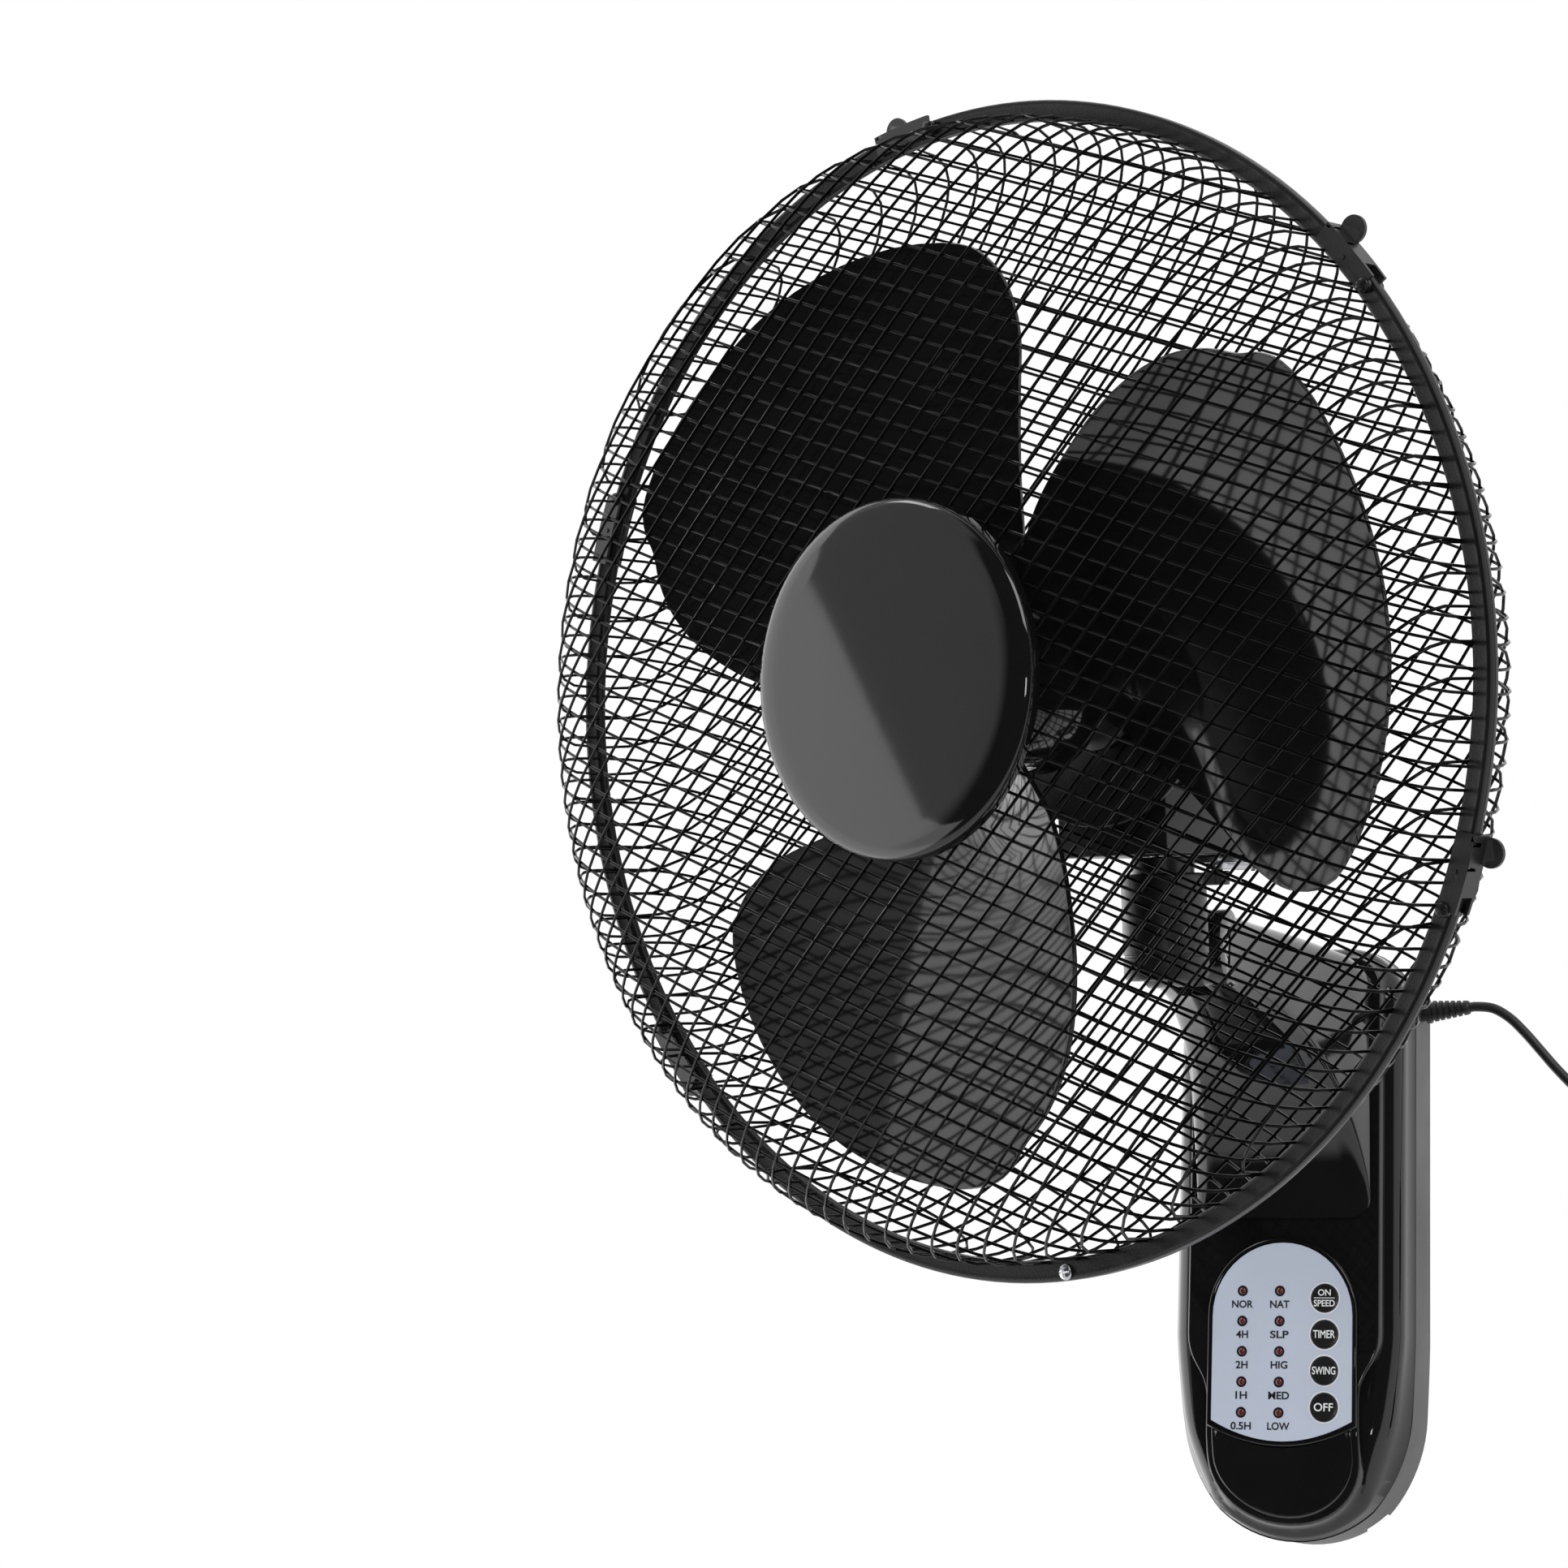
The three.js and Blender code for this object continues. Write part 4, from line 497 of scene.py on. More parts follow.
def makePanel():
    front = -base["faceDepth"]
    lip = plate("panelLip", panelOutline(panel["lipWidth"]), front + 0.3, (0.25, 0.75), (0.35, 0.4), (0.5, 0.1),
                (0.5, -0.2), (0.25, -1.2))
    finished(drooped(lip), 50, "gloss", "base", "gloss_black", "panel_bezel")
    film = plate("panelFilm", panelOutline(0), front + 0.2, (0, 0.45), (0.15, 0.15))
    finished(film, 20, "silver", "base", "panel_silver", "panel_overlay")
    window = plate("receiverWindow", windowOutline(0.2), front + 1.2, (0.05, 1.1), (0.25, 0.28), (0.5, 0.12),
                   (2.5, 0.15))
    sliced(window, base["droopStart"], 3, 16)
    finished(drooped(window), 35, "gloss", "base", "gloss_black", "receiver_window")


makeBackTray()
makeFrontShell()
makePanel()
print("base made")

# Lamps and buttons on the panel, with their plain words.
lamp = {"top": -25.1, "pitch": 12.77, "columns": (-17.6, -1), "radius": 1.6, "socket": 2.3, "outline": 2.5,
        "cap": 3.2, "drop": 5.6}
button = {"x": 18.9, "top": -28.1, "pitch": 15.2, "radius": 6.1, "proud": 1.2, "outline": 6.75}
lampWords = ((("NOR", 9.4), ("4H", 5.3), ("2H", 5.3), ("1H", 5.1), ("0.5H", 9.0)),
             (("NAT", 8.6), ("SLP", 8.2), ("HIG", 7.4), ("MED", 9.2), ("LOW", 9.8)))
buttonWords = (("speed", (("ON", 5.6, 2.7, 2.3), ("SPEED", 9.2, 2.8, -2.2))),
               ("timer", (("TIMER", 9.6, 3.3, 0),)), ("swing", (("SWING", 10.2, 3.3, 0),)),
               ("off", (("OFF", 8.4, 3.4, 0),)))
letter = {"size": 1.4, "depth": 0.03, "weight": 0.1, "smallWeight": 0.055}


def word(text, width, height, x, y, z, weight=letter["weight"]):
    # Plain capitals drawn to a width and a height.
    bpy.ops.object.text_add(rotation=(math.pi / 2, 0, 0))
    font = bpy.context.object.data
    font.body = text
    font.size = height * letter["size"] * mm
    font.align_x, font.align_y = "CENTER", "CENTER"
    font.extrude, font.offset = letter["depth"] * mm, weight * mm
    bpy.ops.object.convert(target="MESH")
    piece = settled("word")
    wide, _, tall = piece.dimensions
    middle = sum((Vector(c) for c in piece.bound_box), Vector()) / 8
    stretch = Matrix.Diagonal((width * mm / wide, 1, height * mm / tall, 1))
    return placed(piece, movedBy(x, y, z) @ stretch @ Matrix.Translation((-middle.x, 0, -middle.z)))


def flatRing(name, inner, outer, y, x, z, steps):
    ring = spun(name, [(inner, y), (outer, y), (outer, y + 0.12), (inner, y + 0.12)], steps)
    return placed(ring, movedBy(x, 0, z))


def makeLamps():
    front = -base["faceDepth"] - panel["proud"]
    rings, sockets, lenses, words = [], [], [], []
    for column, x in enumerate(lamp["columns"]):
        for row in range(5):
            z = lamp["top"] - row * lamp["pitch"]
            rings.append(flatRing("ring", lamp["socket"], lamp["outline"], front - 0.02, x, z, 28))
            sockets.append(flatRing("socket", lamp["radius"] - 0.1, lamp["socket"], front - 0.05, x, z, 28))
            lens = spun("lens", [(0, front - 0.75), (0.7, front - 0.66), (1.25, front - 0.4), (1.6, front + 0.1),
                                 (1.6, front + 4), (0, front + 4)], 24)
            lenses.append(placed(lens, movedBy(x, 0, z)))
            text, width = lampWords[column][row]
            words.append(word(text, width, lamp["cap"], x, front - 0.03, z - lamp["drop"]))
    finished(joinedInto(*rings), 30, "silver", "base", "panel_silver").name = "lampOutlines"
    finished(joinedInto(*sockets), 30, "button", "base", "button_black").name = "lampSockets"
    finished(joinedInto(*lenses), 60, "lampRed", "base", "lamp_red", "status_leds").name = "statusLamps"
    finished(joinedInto(*words), 0, "darkPrint", "base", "panel_silver").name = "lampWords"


def makeButtons():
    front, y = (-base["faceDepth"] - part["proud"] for part in (panel, button))
    cap = button["radius"]
    for i, (name, lines) in enumerate(buttonWords):
        x, z = button["x"], button["top"] - i * button["pitch"]
        ring = flatRing(name + "Outline", cap + 0.15, button["outline"], front - 0.02, x, z, 48)
        finished(ring, 0, "whitePrint", "base", "panel_silver")
        key = spun(name + "Button", [(0, y - 0.12), (cap - 2.2, y - 0.07), (cap - 0.7, y + 0.03),
                                     (cap - 0.25, y + 0.2), (cap, y + 0.6), (cap, -50), (2, -50), (2, -46.2),
                                     (0, -46.2)], 48)
        finished(placed(key, movedBy(x, 0, z)), 35, "button", name + "_key", "button_black",
                 name + "_button")
        parts = [word(text, width, height, x, y - 0.13, z + up, letter["smallWeight"])
                 for text, width, height, up in lines]
        if len(lines) > 1:
            parts.append(block("bar", (x - 4.6, x + 4.6), (y - 0.16, y - 0.08), (z - 0.12, z + 0.16)))
        finished(joinedInto(*parts), 0, "whitePrint", name + "_key", "button_black").name = name + "Word"


makeLamps()
makeButtons()
print("panel made")

# Arm: sections of (reach, half width, top, bottom) from the base to the fork at the tilt pivot.
arm = {"sections": ((57.8, 39, 116, 6), (64, 38, 117, 20), (76, 36, 118, 36), (94, 32.5, 117.5, 52),
                    (118, 28.5, 116.5, 65), (146, 24.5, 114.5, 72.5), (176, 20, 112, 77), (208, 17, 109.5, 78.5)),
       "between": 4, "cornerSteps": 6, "corner": 9, "fork": 15.5, "forkWidth": 34, "lug": 14, "recess": 7.6}


def makeArm():
    rings = []
    for reach, half, top, bottom in through(arm["sections"], arm["between"]):
        corner = max(min(arm["corner"], half * 0.4), 1.5)
        ring = []
        for quarter, (sx, sz) in enumerate(((1, 1), (-1, 1), (-1, -1), (1, -1))):
            edge = top if sz > 0 else bottom
            ring += [(x, -reach, z) for x, z in arc(sx * (half - corner), edge - sz * corner, corner,
                                                    quarter * 90, quarter * 90 + 90, arm["cornerSteps"])]
        rings.append(ring)
    body = skinned("armBody", rings)
    y, z = -pose["pivotReach"], pose["pivotHeight"]
    edge = arm["forkWidth"] / 2
    tip = rod("tip", arm["fork"], -edge, edge, (y, z), "X", 64)
    carved(body, tip, operation="UNION")
    half = arm["lug"] / 2 + gap
    cutters = [block("cutter", (-half, half), (y - 17, y + 15.5), (z - 30, z + 30))]
    cutters += [rod("cutter", arm["recess"], s * 15 - 2.01, s * 15 + 2.01, (y, z), "X", 48) for s in (-1, 1)]
    carved(body, *cutters)
    finished(rounded(body, 0.7, 3, 50), 40, "gloss", "base", "gloss_black", "arm")
    bolt = rod("tiltBolt", 7, -edge + 0.4, -edge + 3.7, (y, z), "X", 6)
    shank = rod("shank", 4, -edge + 1, edge - 0.5, (y, z), "X")
    finished(joinedInto(rounded(bolt, 0.5), shank), 35, "steel", "base", "steel", "tilt_bolt")
    nut = rod("tiltNut", 7, edge - 3.7, edge - 0.6, (y, z), "X", 6)
    carved(nut, rod("cutter", 4.3, 0, 40, (y, z), "X"))
    finished(rounded(nut, 0.4), 35, "steel", "base", "steel", "tilt_nut")


makeArm()
print("arm made")

# Neck: the post that tips on the pivot and carries the head on its upright pin.
neck = {"radius": 17, "bottom": -12, "shoulder": 30, "collar": 12.5, "top": 36.4, "bore": 8.3, "floor": 16,
        "lug": 7, "anchorRadius": 22, "anchorAngle": 30}


def makeNeck():
    middle, reach, half = -pose["neckOffset"], neck["anchorRadius"], neck["lug"]
    r, low, high = neck["radius"], neck["bottom"], neck["shoulder"]
    collar, top, bore = neck["collar"], neck["top"], neck["bore"]
    post = spun("neckPost", [(0, low), (r - 2.5, low), (r - 0.8, low + 0.6), (r, low + 2.2), (r, low + 9),
                             (r - 0.5, low + 9.3), (r - 0.5, low + 10.1), (r, low + 10.4), (r, high - 2.4),
                             (r - 0.7, high - 0.7), (r - 2.4, high), (collar, high), (collar, top - 0.5),
                             (collar - 0.5, top), (bore, top), (bore, neck["floor"]), (0, neck["floor"])], 64)
    placed(post, movedBy(0, middle, 0) @ turnedBy(90, "X"))
    lug = rounded(block("lug", (-half, half), (middle, 0), (-12, 12)), 0.8)
    eye = rounded(rod("eye", arm["fork"] - gap, -half, half, (0, 0), "X", 64), 0.8)
    a = math.radians(neck["anchorAngle"])
    pinAt = (reach * math.cos(a), middle + reach * math.sin(a))
    ear = rounded(block("ear", (0, reach), (-4.5, 4.5), (25, 30)), 0.6)
    placed(ear, movedBy(0, middle, 0) @ turnedBy(neck["anchorAngle"], "Z"))
    earEnd = rounded(rod("earEnd", 5, 25, 30.5, pinAt, "Z"), 0.5)
    pin = rounded(rod("pin", 2.4, 30, 33.9, pinAt, "Z", 24), 0.3)
    body = joinedInto(post, lug, eye, ear, earEnd, pin)
    finished(placed(body, neckPlace), 35, "satin", "neck", "satin_black", "neck_housing")


def dressed(node, name, look, slot, width):
    # A CAD solid's own shape with its edges softened.
    copy = copied(nodes[node], name)
    copy.parent = None
    for key in list(copy.keys()):
        del copy[key]
    copy.matrix_world = Matrix.Identity(4)
    edit(copy, mend, lambda: bpy.ops.mesh.dissolve_limited(angle_limit=math.radians(2)))
    finished(rounded(copy, width, 2, 30), 35, look, nodes[node]["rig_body"], slot, node)


makeNeck()
dressed("saddle", "saddleBlock", "satin", "satin_black", 1.2)
dressed("crank_link", "crankLink", "steel", "steel", 0.3)
dressed("crank_disc", "crankDisc", "steel", "steel", 0.3)
dressed("cord_tie", "cordTie", "tie", "satin_black", 0.5)
print("neck made")

# Motor housing behind the cage, with vent slots round both covers.
motor = {"radius": 47, "front": 37, "back": 65, "wall": 2.5, "split": 5, "slots": 24, "slotRim": 0.6,
         "slotSink": 1.3, "boss": 12, "bore": 8.3}


def onHead(piece, angle, look, slot, *replaced):
    finished(placed(piece, headPlace), angle, look, "head", slot, *replaced)


def makeMotor():
    r, front, back, split = motor["radius"], -motor["front"], motor["back"], motor["split"]
    inner, lip, boss, bore, steps = r - motor["wall"], r + 0.9, motor["boss"], motor["bore"], motor["slots"] * 4
    cover = spun("motorFrontCover", [(bore, front - 9), (boss, front - 9), (boss, front), (r - 8, front),
                                     (r - 4.5, front + 0.6), (r - 1.6, front + 2.6), (r, front + 6.5),
                                     (r, split - 1.2), (lip, split - 0.9), (lip, split), (inner, split),
                                     (inner, front + 7.5), (r - 8.5, front + 2.5), (boss, front + 2.5),
                                     (boss, front + 10), (bore, front + 10)], steps)
    slotted(cover, front + 10, split - 6, r)
    onHead(cover, 35, "satin", "satin_black", "motor_front_cover")
    rear = spun("motorRearCover", [(0, back), (18, back - 0.3), (26, back - 1.2), (34, back - 4), (41, back - 9),
                                   (45, back - 15), (r, back - 22), (r, split + 1.5), (lip, split + 1.2),
                                   (lip, split + 0.3), (inner, split + 0.3), (inner, back - 22), (39, back - 12),
                                   (25, back - 4), (0, back - 4)], steps)
    slotted(rear, split + 4, back - 25, r)
    slotted(rear, back - 14.8, back - 2, 60)
    onHead(rear, 35, "satin", "satin_black", "motor_rear_cover")
    nut = spun("guardNut", [(12.3, -45.5), (19, -45.5), (21, -44.8), (24, -42), (24, -40.3), (12.3, -40.3)], 64)
    onHead(nut, 30, "satin", "satin_black", "guard_nut")


def slotted(cover, low, high, radius):
    # Vent slots: every other pair of outer faces between two depths is drawn in and sunk.
    step = 360 / motor["slots"]
    for polygon in cover.data.polygons:
        c = polygon.center / mm
        turn = math.degrees(math.atan2(c.z, c.x)) % step
        outward = polygon.normal.x * c.x + polygon.normal.z * c.z > 0 or polygon.normal.y > 0.5
        polygon.select = low < c.y < high and turn < step / 2 and outward and 19 < math.hypot(c.x, c.z) < radius + 1
    edit(cover, lambda: bpy.ops.mesh.select_mode(type="FACE"),
         lambda: bpy.ops.mesh.inset(thickness=motor["slotRim"] * mm, depth=0),
         lambda: bpy.ops.mesh.inset(thickness=0.15 * mm, depth=-motor["slotSink"] * mm),
         lambda: bpy.ops.mesh.select_mode(type="VERT"))


makeMotor()
print("motor made")

# Cage: two domes of straight crossed wires, each in its rim, held together round the edge.
cage = {"joint": -100, "ringRadius": 222.5, "rimWidth": 8, "rimDepth": 2.8, "domeRadius": 215.1, "wire": 0.6,
        "families": ((-20.2, 8.1, 0.42), (43.9, 8.8, -0.42)), "frontRise": 51, "rearRise": 59.4,
        "frontPower": 0.3, "rearPower": 0.36, "squareness": 5, "steps": 40}
hub = {"radius": 67, "back": -153.98, "front": -161.0, "crown": 1.6, "crownStep": 6.0}


def wireDome(name, rimMiddle, rise, power):
    reach, dome, lines = cage["ringRadius"] - cage["rimWidth"] / 2, cage["domeRadius"], []
    for degrees, pitch, layer in cage["families"]:
        a = math.radians(degrees)
        count = int((reach - 3) / pitch)
        for k in range(-count, count + 1):
            offset = k * pitch
            knee = math.sqrt(max(dome ** 2 - offset ** 2, 9))
            half = math.sqrt(reach ** 2 - offset ** 2)
            steps = max(10, int(cage["steps"] * knee / dome))
            inner = [knee * math.sin(math.pi / 2 * (2 * i / steps - 1)) for i in range(steps + 1)]
            line = []
            for t in [-half] + inner + [half]:
                depth = rise * (1 - min(math.hypot(offset, t) / dome, 1) ** cage["squareness"]) ** power
                y = rimMiddle + depth + layer * min(1, abs(depth) / 6)
                line.append((t * math.cos(a) - offset * math.sin(a), y, t * math.sin(a) + offset * math.cos(a)))
            lines.append(line)
    # The wires are six sided, with edges right at this angle, so they are shaded before they are placed.
    return shaded(tubes(name, lines, cage["wire"], 1), 60)


def rim(name, back, front):
    # back and front are depths; the band has a rolled outer edge and a shallow channel inside it.
    r, w = cage["ringRadius"], cage["rimWidth"]
    sign = 1 if front > back else -1
    outline = [(r - w, back), (r, back), (r, front - 1.2 * sign), (r - 0.35, front - 0.35 * sign), (r - 1.2, front),
               (r - 2.0, front - 0.15 * sign), (r - 2.9, front - 0.45 * sign), (r - w + 1.6, front - 0.35 * sign),
               (r - w + 0.8, front - 0.5 * sign), (r - w, front - 1.4 * sign)]
    return spun(name, outline, 192)


def makeCage():
    joint, seam, depth = cage["joint"], gap / 2, cage["rimDepth"]
    middle = (depth + seam) / 2
    onHead(rim("frontRim", joint - seam, joint - depth), 40, "rim", "guard_black", "front_guard")
    wires = wireDome("frontWires", joint - middle, -cage["frontRise"], cage["frontPower"])
    onHead(wires, 0, "wire", "guard_black")
    disc = spun("frontDisc", [(0, -153.7), (59, -153.7), (60, -153), (60, -151.8), (59, -151.3), (0, -151.3)])
    onHead(disc, 30, "rim", "guard_black")
    onHead(rim("rearRim", joint + seam, joint + depth), 40, "rim", "guard_black", "rear_guard")
    wires = wireDome("rearWires", joint + middle, cage["rearRise"], cage["rearPower"])
    onHead(wires, 0, "wire", "guard_black")
    back = spun("rearPlate", [(12.3, -40), (20, -40), (26, -39.6), (44, -39.6), (48, -40), (53.4, -40),
                              (54, -39.5), (54, -38), (53.4, -37.4), (12.3, -37.4)])
    onHead(back, 30, "rim", "guard_black")


def makeHubPlate():
    r, back, top, step = hub["radius"], hub["back"], hub["front"], hub["crownStep"]
    outline = [(k * step, top - hub["crown"] * math.cos(math.pi / 2 * k * step / r)) for k in range(11)]
    outline += [(r - 4.2, top + 0.15), (r - 2.4, top + 0.75), (r - 1.0, top + 1.8), (r - 0.3, top + 3.2),
                (r, top + 5), (r, back), (r - 2.5, back), (r - 2.5, top + 5), (12, top + 2.6), (12, back), (0, back)]
    onHead(spun("hubPlate", outline, 160), 40, "gloss", "gloss_black", "hub_plate")


makeCage()
makeHubPlate()
print("cage made")

# Clips over the rims, their rivets, and the screw at the foot of the ring.
clip = {"first": -84.5, "count": 6, "pivotRadius": 219.2, "arc": 7.2, "leg": 1.4, "clear": 0.4, "height": 2.8,
        "lobe": 5.2, "lobeReach": 8.8, "lobeBack": 1.35, "screw": -82.7}
clipFront = cage["joint"] - cage["rimDepth"] - clip["clear"] - clip["leg"]
clipRear = cage["joint"] + cage["rimDepth"] + clip["clear"] + clip["leg"]


def sector(name, inner, outer, low, high, start, end, steps=10):
    outline = arc(0, 0, outer, start, end, steps) + arc(0, 0, inner, end, start, steps)
    return plate(name, outline, high, (0, high - low))


def onRing(degrees, radius):
    return radius * math.cos(math.radians(degrees)), radius * math.sin(math.radians(degrees))


def makeClip():
    # Drawn with its rivet at angle 0; it reaches round the ring to its finger lobe.
    front, rear, pivot = clipFront, clipRear, clip["pivotRadius"]
    outer, end, leg = cage["ringRadius"] + clip["clear"], clip["arc"], clip["leg"]
    inner, lows = pivot - clip["height"], (front, rear - leg)
    body, other = (sector("leg", inner, outer + leg, low, low + leg, 0, end) for low in lows)
    noses = [rod("nose", clip["height"], low, low + leg, (pivot, 0)) for low in lows]
    wall = sector("wall", outer, outer + leg, front, rear, 1.6, end)
    lobeAt = onRing(end - clip["lobeBack"], outer + clip["lobeReach"] - clip["lobe"])
    lobe = rod("lobe", clip["lobe"], rear - leg, rear, lobeAt, sides=48)
    dimple = rod("dimple", 0.9, front - 0.5, front + 0.5, onRing(3.6, pivot + 0.4), sides=20)
    carved(body, other, *noses, wall, lobe, dimple, operation="UNION")
    carved(body, rod("cutter", 1.8, front - 3, rear + 3, (pivot, 0), sides=24))
    return rounded(body, 0.3, 2, 40)


def makeFasteners():
    pattern = makeClip()
    front, rear = clipFront - gap, clipRear + gap
    for i in range(1, clip["count"]):
        turn = clip["first"] + 360 / clip["count"] * i
        place = headPlace @ turnedBy(-turn, "Y")
        one = placed(copied(pattern, "ringClip%d" % i), place)
        finished(one, 35, "satin", "clip_%d" % i, "satin_black", "guard_clip_%d" % i)
        rivet = spun("ringRivet%d" % i, [(0, front - 1.3), (1.6, front - 1.2), (2.4, front - 0.8), (2.7, front - 0.2),
                                         (2.7, front), (1.5, front), (1.5, rear), (2.2, rear), (2.2, rear + 0.6),
                                         (1.2, rear + 1), (0, rear + 1)], 28)
        placed(rivet, place @ movedBy(clip["pivotRadius"], 0, 0))
        finished(rivet, 40, "rim", "head", "guard_black", "clip_rivet_%d" % i)
    bpy.data.objects.remove(pattern)
    seat = cage["joint"] - cage["rimDepth"] - gap
    far = cage["joint"] + cage["rimDepth"]
    place = headPlace @ turnedBy(-clip["screw"], "Y") @ movedBy(clip["pivotRadius"], 0, 0)
    screw = spun("ringScrew", [(0, seat - 1.8), (1.4, seat - 1.7), (2.4, seat - 1.2), (2.9, seat - 0.4), (2.9, seat),
                               (1.5, seat), (1.5, far + 5), (0, far + 5)], 32)
    carved(screw, block("cutter", (-0.35, 0.35), (seat - 3, seat - 1.1), (-2, 2)),
           block("cutter", (-2, 2), (seat - 3, seat - 1.1), (-0.35, 0.35)))
    finished(placed(screw, place), 35, "steel", "head", "steel", "ring_screw")
    nut = rod("ringNut", 3.2, far + 0.3, far + 3, sides=6)
    carved(nut, rod("cutter", 1.8, far - 5, far + 8, sides=24))
    finished(placed(rounded(nut, 0.3), place), 35, "steel", "head", "steel", "ring_nut")


makeFasteners()
print("fasteners made")

# Rotor: three swept blades on a hub. Stations are (radius, leading angle, trailing angle).
rotor = {"stations": ((26, -30, 53), (44, -33, 54.2), (60, -36, 54.5), (78, -37.9, 52.4), (97, -39.8, 49),
                      (115, -41.4, 46), (132, -42.6, 42.7), (145, -42.3, 39.7), (156, -41, 36.5), (165, -38.7, 33),
                      (172, -35, 29.5), (179, -25.5, 27.4), (184.5, -13.5, 24.5), (187, -4, 20), (187.5, 3, 17)),
         "across": 22, "thickness": 2, "back": -87.5, "rise": 0.364, "camber": 0.001, "cone": 0.198, "coneStart": 60,
         "count": 3, "hubBack": -72, "hubFront": -128, "hubRadius": 34,
         "bore": 4.3, "grips": 12}


def makeBlade():
    rows = through(rotor["stations"], 3)
    across, points = rotor["across"], []
    for radius, lead, trail in rows:
        for i in range(across + 1):
            share = 0.5 - 0.5 * math.cos(math.pi * i / across)
            angle = lead + (trail - lead) * share
            y = (rotor["back"] - rotor["rise"] * angle - rotor["camber"] * angle ** 2
                 - rotor["cone"] * max(radius - rotor["coneStart"], 0))
            points.append((radius * math.cos(math.radians(angle)), y, radius * math.sin(math.radians(angle))))
    step = across + 1
    faces = [(s * step + i, s * step + i + 1, (s + 1) * step + i + 1, (s + 1) * step + i)
             for s in range(len(rows) - 1) for i in range(across)]
    blade = newPiece("blade", points, faces)
    edit(blade, mend)
    modified(blade, "SOLIDIFY", thickness=rotor["thickness"] * mm, offset=0, use_even_offset=False)
    return rounded(blade, 0.7, 3, 60)


def makeRotor():
    pattern = makeBlade()
    turns = [turnedBy(-360 / rotor["count"] * i, "Y") for i in range(rotor["count"])]
    blades = [placed(copied(pattern, "blade"), turn) for turn in turns]
    bpy.data.objects.remove(pattern)
    back, front, r = rotor["hubBack"], rotor["hubFront"], rotor["hubRadius"]
    bore, top = rotor["bore"], front - 0.3
    hubBody = spun("hubBody", [(bore, back), (r - 3, back), (r - 1, back - 1), (r, back - 3), (r, front + 8),
                               (r - 1.2, front + 4), (r - 4.5, front + 1), (r - 9, front), (bore, front)])
    body = joinedInto(hubBody, *blades)
    body.name = "bladeWheel"
    finished(placed(body, rotorPlace), 45, "blade", "rotor", "blade_black", "blades")
    nut = spun("spinnerNut", [(0, front - 13), (3.5, front - 12.8), (6.5, front - 12.2), (9.5, front - 11),
                              (12, front - 9), (13.8, front - 6.6), (15, front - 4), (15, top), (bore, top),
                              (bore, front - 9.5), (0, front - 9.5)], 48)
    grips = []
    for k in range(rotor["grips"]):
        grip = rounded(block("grip", (14, 15.6), (front - 4.5, front - 0.5), (-0.9, 0.9)), 0.3)
        grips.append(placed(grip, turnedBy(360 / rotor["grips"] * k, "Y")))
    nut = placed(joinedInto(nut, *grips), rotorPlace)
    finished(nut, 40, "gloss", "rotor", "gloss_black", "spinner_nut")


makeRotor()
print("rotor made")

# Cord: lead from the gland, a tied coil of two flat layers, and a tail to the plug.
cord = {"radius": 2.2, "roundness": 4, "pitch": 5, "turns": 3.75, "outer": 34, "centre": (182, -10, 12),
        "leadIn": 4.4, "depth": -13, "exitAngle": 5, "cornerMiddle": (25, 100.5), "glandEnd": 48.3,
        "tailEnd": (151, -11, -60), "smoothing": 8}


def fromCorner(distance):
    a = math.radians(cord["exitAngle"])
    x, z = cord["cornerMiddle"]
    return (x + distance * math.cos(a), cord["depth"], z + distance * math.sin(a))


def coilPoint(turn):
    turns, total = cord["turns"], 2 * cord["turns"]
    radius = cord["outer"] - cord["pitch"] * (turn if turn <= turns else total - turn)
    t = clamped((turn - turns + 0.25) / 0.5)
    climb = t * t * (3 - 2 * t)
    a = math.pi / 2 - 2 * math.pi * turn
    x, y, z = cord["centre"]
    return (x + radius * math.cos(a), y + cord["pitch"] * (0.5 - climb), z + radius * math.sin(a))


def coilEnd(turn, further=0.0):
    x, y, z = coilPoint(turn)
    return (x - cord["leadIn"] - gap - further, y, z)


def between(p, q, start, end, t):
    return p * (end - t) / (end - start) + q * (t - start) / (end - start)


def centripetal(points):
    # The smooth curve through listed points that the part's own cord follows.
    pts = [Vector(p) for p in points]
    pts = [2 * pts[0] - pts[1]] + pts + [2 * pts[-1] - pts[-2]]
    out, steps = [], cord["smoothing"]
    for i in range(1, len(pts) - 2):
        near, at = pts[i - 1:i + 3], [0.0]
        for a, b in zip(near, near[1:]):
            at.append(at[-1] + (b - a).length ** 0.5)
        for k in range(steps):
            t = at[1] + (at[2] - at[1]) * k / steps
            first = [between(near[j], near[j + 1], at[j], at[j + 1], t) for j in range(3)]
            second = [between(first[j], first[j + 1], at[j], at[j + 2], t) for j in range(2)]
            out.append(tuple(between(*second, at[1], at[2], t)))
    return out + [tuple(points[-1])]


def makeCord():
    turns, lead = cord["turns"], cord["leadIn"]
    start = (fromCorner(cord["glandEnd"]), fromCorner(50.5), (83.2, -12.8, 104), (90.4, -12.4, 99.8),
             (97.5, -12, 92.8), (104.5, -11.4, 84.6), (111.5, -10.7, 76.4), (121, -10, 67), (140, -9, 55),
             (155, -8, 48.5), coilEnd(0, 4), coilEnd(0))
    end = (coilEnd(2 * turns), coilEnd(2 * turns, 4), (162, -12.5, -25.5), (155, -12, -33), (151.3, -11.3, -44),
           cord["tailEnd"])
    coil = [coilPoint(2 * turns * i / 360) for i in range(361)]
    coil = [(coil[0][0] - lead, *coil[0][1:])] + coil + [(coil[-1][0] - lead, *coil[-1][1:])]
    whole = centripetal(start) + coil + centripetal(end)
    flex = tubes("mainsCord", [whole], cord["radius"], cord["roundness"])
    finished(flex, 50, "cord", "base", "cord_black", "cord_lead", "cord_coil", "cord_tail")
    return flex, whole


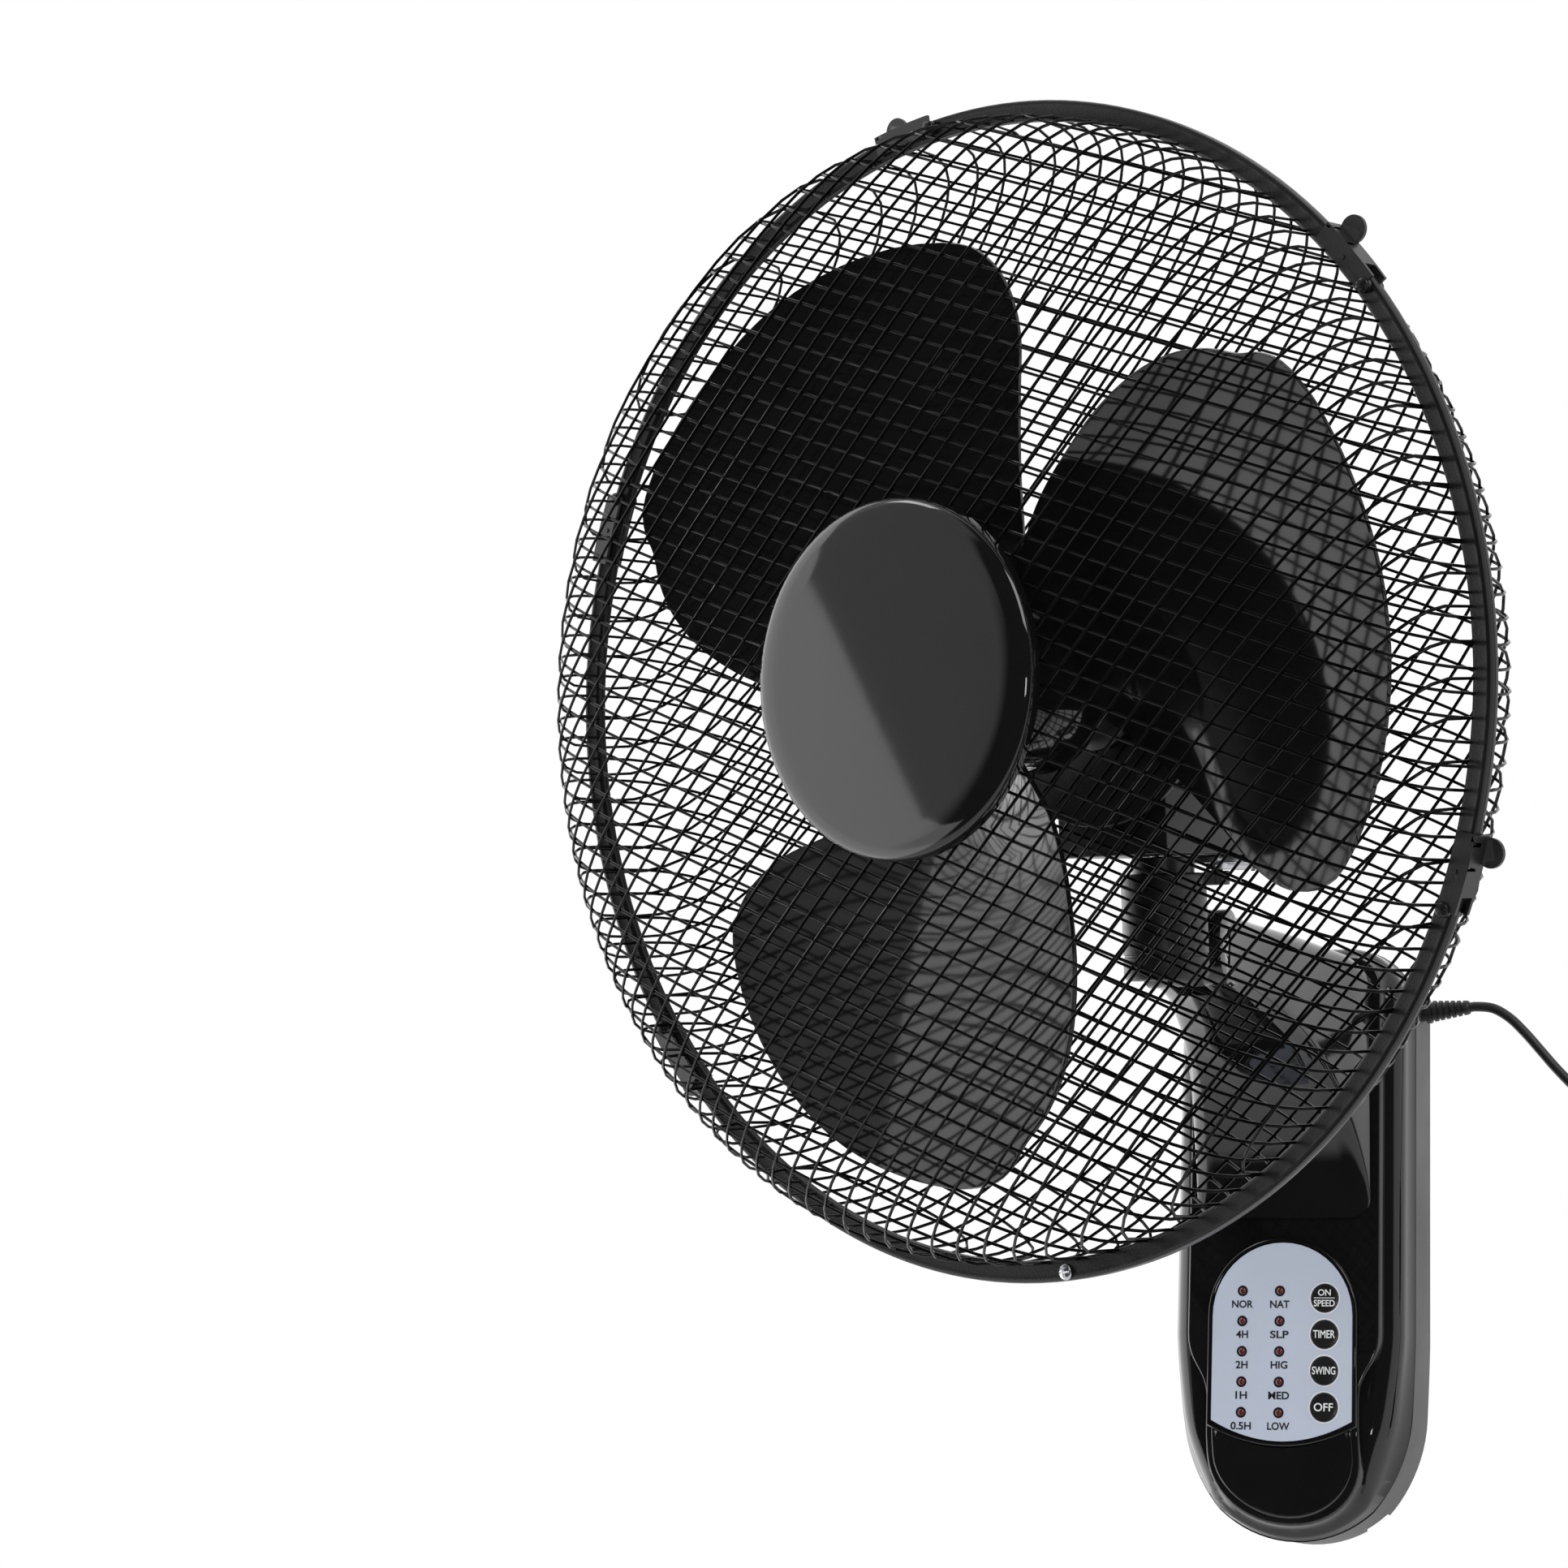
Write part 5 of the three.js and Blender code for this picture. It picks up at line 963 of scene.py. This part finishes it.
def makeGland():
    # The strain relief: a ribbed taper out of the housing's top corner.
    outline = [(0, 20.4), (5, 20.4), (5, 23.2), (4, 23.4), (4, 28.2), (5.2, 28.3), (5.2, 30.4)]
    for k in range(6):
        at, r = 31 + k * 2.7, 4.7 - k * 0.28
        outline += [(r - 0.7, at), (r - 0.7, at + 0.7), (r, at + 0.9), (r - 0.1, at + 2.3)]
    outline += [(3.0, 47.6), (2.7, 48), (0, 48)]
    x, z = cord["cornerMiddle"]
    place = movedBy(x, cord["depth"], z) @ turnedBy(-cord["exitAngle"], "Y") @ turnedBy(-90, "Z")
    gland = placed(spun("cordGland", outline, 32), place)
    return finished(gland, 30, "cord", "base", "cord_black", "cord_gland")


def makePlug():
    x, y, z = cord["tailEnd"]
    # Sections down the plug: drop, half width, half depth.
    sections = ((0, 3.2, 3.2), (2, 3.6, 3.6), (9, 4, 4), (11, 5.4, 4.6), (14, 9.6, 6.3), (18, 11.4, 6.8),
                (24, 12.3, 7), (30, 12.9, 7), (36, 13, 7), (39.2, 13, 7), (40, 12.4, 6.4))
    turns = [math.pi * k / 20 for k in range(40)]
    rings = [[(x + w * math.cos(a), y + d * math.sin(a), z - gap - drop) for a in turns]
             for drop, w, d in through(sections, 2)]
    body = skinned("mainsPlug", rings)
    pins = [rounded(rod("pin", 2, z - 59.3, z - 39.5, (x + s * 9.5, y), "Z", 24), 0.8) for s in (-1, 1)]
    finished(body, 40, "cord", "base", "cord_black", "mains_plug")
    finished(joinedInto(*pins), 40, "steel", "base", "steel").name = "plugPins"
    return body


flex, route = makeCord()
gland = makeGland()
plug = makePlug()
print("cord made")

# The solids that stay as they are get their own finish.
inside = {"board": ("control_board",), "sleeve": ("run_capacitor",), "core": ("stator_core", "rotor_core"),
          "brass": ("swing_bush", "front_bearing", "rear_bearing"), "copper": ("front_winding", "rear_winding"),
          "steel": ("swing_pin", "swing_motor", "motor_shaft", "shell_screw_1", "shell_screw_2", "shell_screw_3",
                    "arm_screw_1", "arm_screw_2")}
for look, names in inside.items():
    for name in names:
        nodes[name].data.materials.clear()
        nodes[name].data.materials.append(looks[look])
print("inner solids finished")

# A white surround that the gloss reflects, darker on the room's side, and plain soft lamps.
# A normal and an edge bound each lit part; the lamps have a place, a target, a size in metres and watts.
light = {"ambient": 0.75, "room": 0.05, "wallEdge": (-0.44, -0.26), "floor": -0.42,
         "left": 0.7, "leftNormal": (-0.5, 0.65, 0.57), "leftEdge": (-0.06, 0.05), "leftFrom": (0.05, 0.35),
         "pane": 1.6, "paneNormal": (-0.3913, 0.8299, -0.3977), "paneEdge": (-0.003, 0.003), "paneFrom": (0.6, 0.7)}
studioLamps = {"windowLamp": ((1.4, -1.6, 1.3), (0, -0.2, 0.1), (0.9, 1.2), 18),
               "lowLamp": ((0.55, -1.9, -0.3), (0, -0.06, -0.11), (0.34, 0.22), 2.5),
               "leftLamp": ((-1.4, -1.1, 2.1), (0, -0.2, 0.1), (0.8, 0.8), 12)}


def makeWorld():
    # The gloss sees a dark room, the white wall beside the fan, and a brighter pane at the far left.
    world = bpy.data.worlds.new("studio")
    bpy.context.scene.world = world
    world.use_nodes = True
    tree = world.node_tree
    add, link = tree.nodes.new, tree.links.new
    background = tree.nodes["Background"]
    background.inputs["Color"].default_value = (1, 1, 1, 1)
    path = add("ShaderNodeLightPath")
    place = add("ShaderNodeTexCoord")

    def step(normal, edge, low, high):
        toward = add("ShaderNodeVectorMath")
        toward.operation = "DOT_PRODUCT"
        toward.inputs[1].default_value = normal
        link(place.outputs["Generated"], toward.inputs[0])
        node = add("ShaderNodeMapRange")
        node.interpolation_type = "SMOOTHSTEP"
        for key, value in zip(("From Min", "From Max", "To Min", "To Max"), (*edge, low, high)):
            node.inputs[key].default_value = value
        link(toward.outputs["Value"], node.inputs["Value"])
        return node.outputs["Result"]

    def both(operation, a, b):
        node = add("ShaderNodeMath")
        node.operation = operation
        link(a, node.inputs[0])
        link(b, node.inputs[1])
        return node.outputs["Value"]

    left = both("MULTIPLY", step(light["leftNormal"], light["leftEdge"], 0, 1),
                step((-1, 0, 0), light["leftFrom"], 0, light["left"]))
    wall = both("MAXIMUM", left, step((0, 1, 0), light["wallEdge"], light["room"], 1))
    pane = both("MULTIPLY", step(light["paneNormal"], light["paneEdge"], 0, light["pane"]),
                step((-1, 0, 0), light["paneFrom"], 0, 1))
    mirrored = both("ADD", wall, pane)
    clear = both("MAXIMUM", path.outputs["Is Camera Ray"], path.outputs["Is Transmission Ray"])
    seen = add("ShaderNodeMix")
    seen.inputs["A"].default_value = light["ambient"]
    link(path.outputs["Is Glossy Ray"], seen.inputs["Factor"])
    link(mirrored, seen.inputs["B"])
    shown = add("ShaderNodeMix")
    shown.inputs["B"].default_value = 1.0
    link(clear, shown.inputs["Factor"])
    link(seen.outputs["Result"], shown.inputs["A"])
    link(shown.outputs["Result"], background.inputs["Strength"])


def makeLamp(name, place, target, size, watts):
    data = bpy.data.lights.new(name, "AREA")
    data.shape, data.size, data.size_y, data.energy = "RECTANGLE", size[0], size[1], watts
    piece = linked(name, data)
    piece.location = place
    piece.rotation_euler = (Vector(target) - Vector(place)).to_track_quat("-Z", "Y").to_euler()


def makeFloor():
    bpy.ops.mesh.primitive_plane_add(size=8, location=(0, 0, light["floor"]))
    floor = bpy.context.object
    floor.name = "floor"
    material = bpy.data.materials.new("paleFloor")
    material.use_nodes = True
    shader = material.node_tree.nodes["Principled BSDF"]
    shader.inputs["Roughness"].default_value = 0.9
    shader.inputs["Base Color"].default_value = (0.86, 0.86, 0.86, 1)
    floor.data.materials.append(material)
    floor.visible_glossy = False


makeWorld()
makeFloor()
for name, settings in studioLamps.items():
    makeLamp(name, *settings)
bpy.context.scene.view_settings.view_transform = "Standard"
print("stage set")
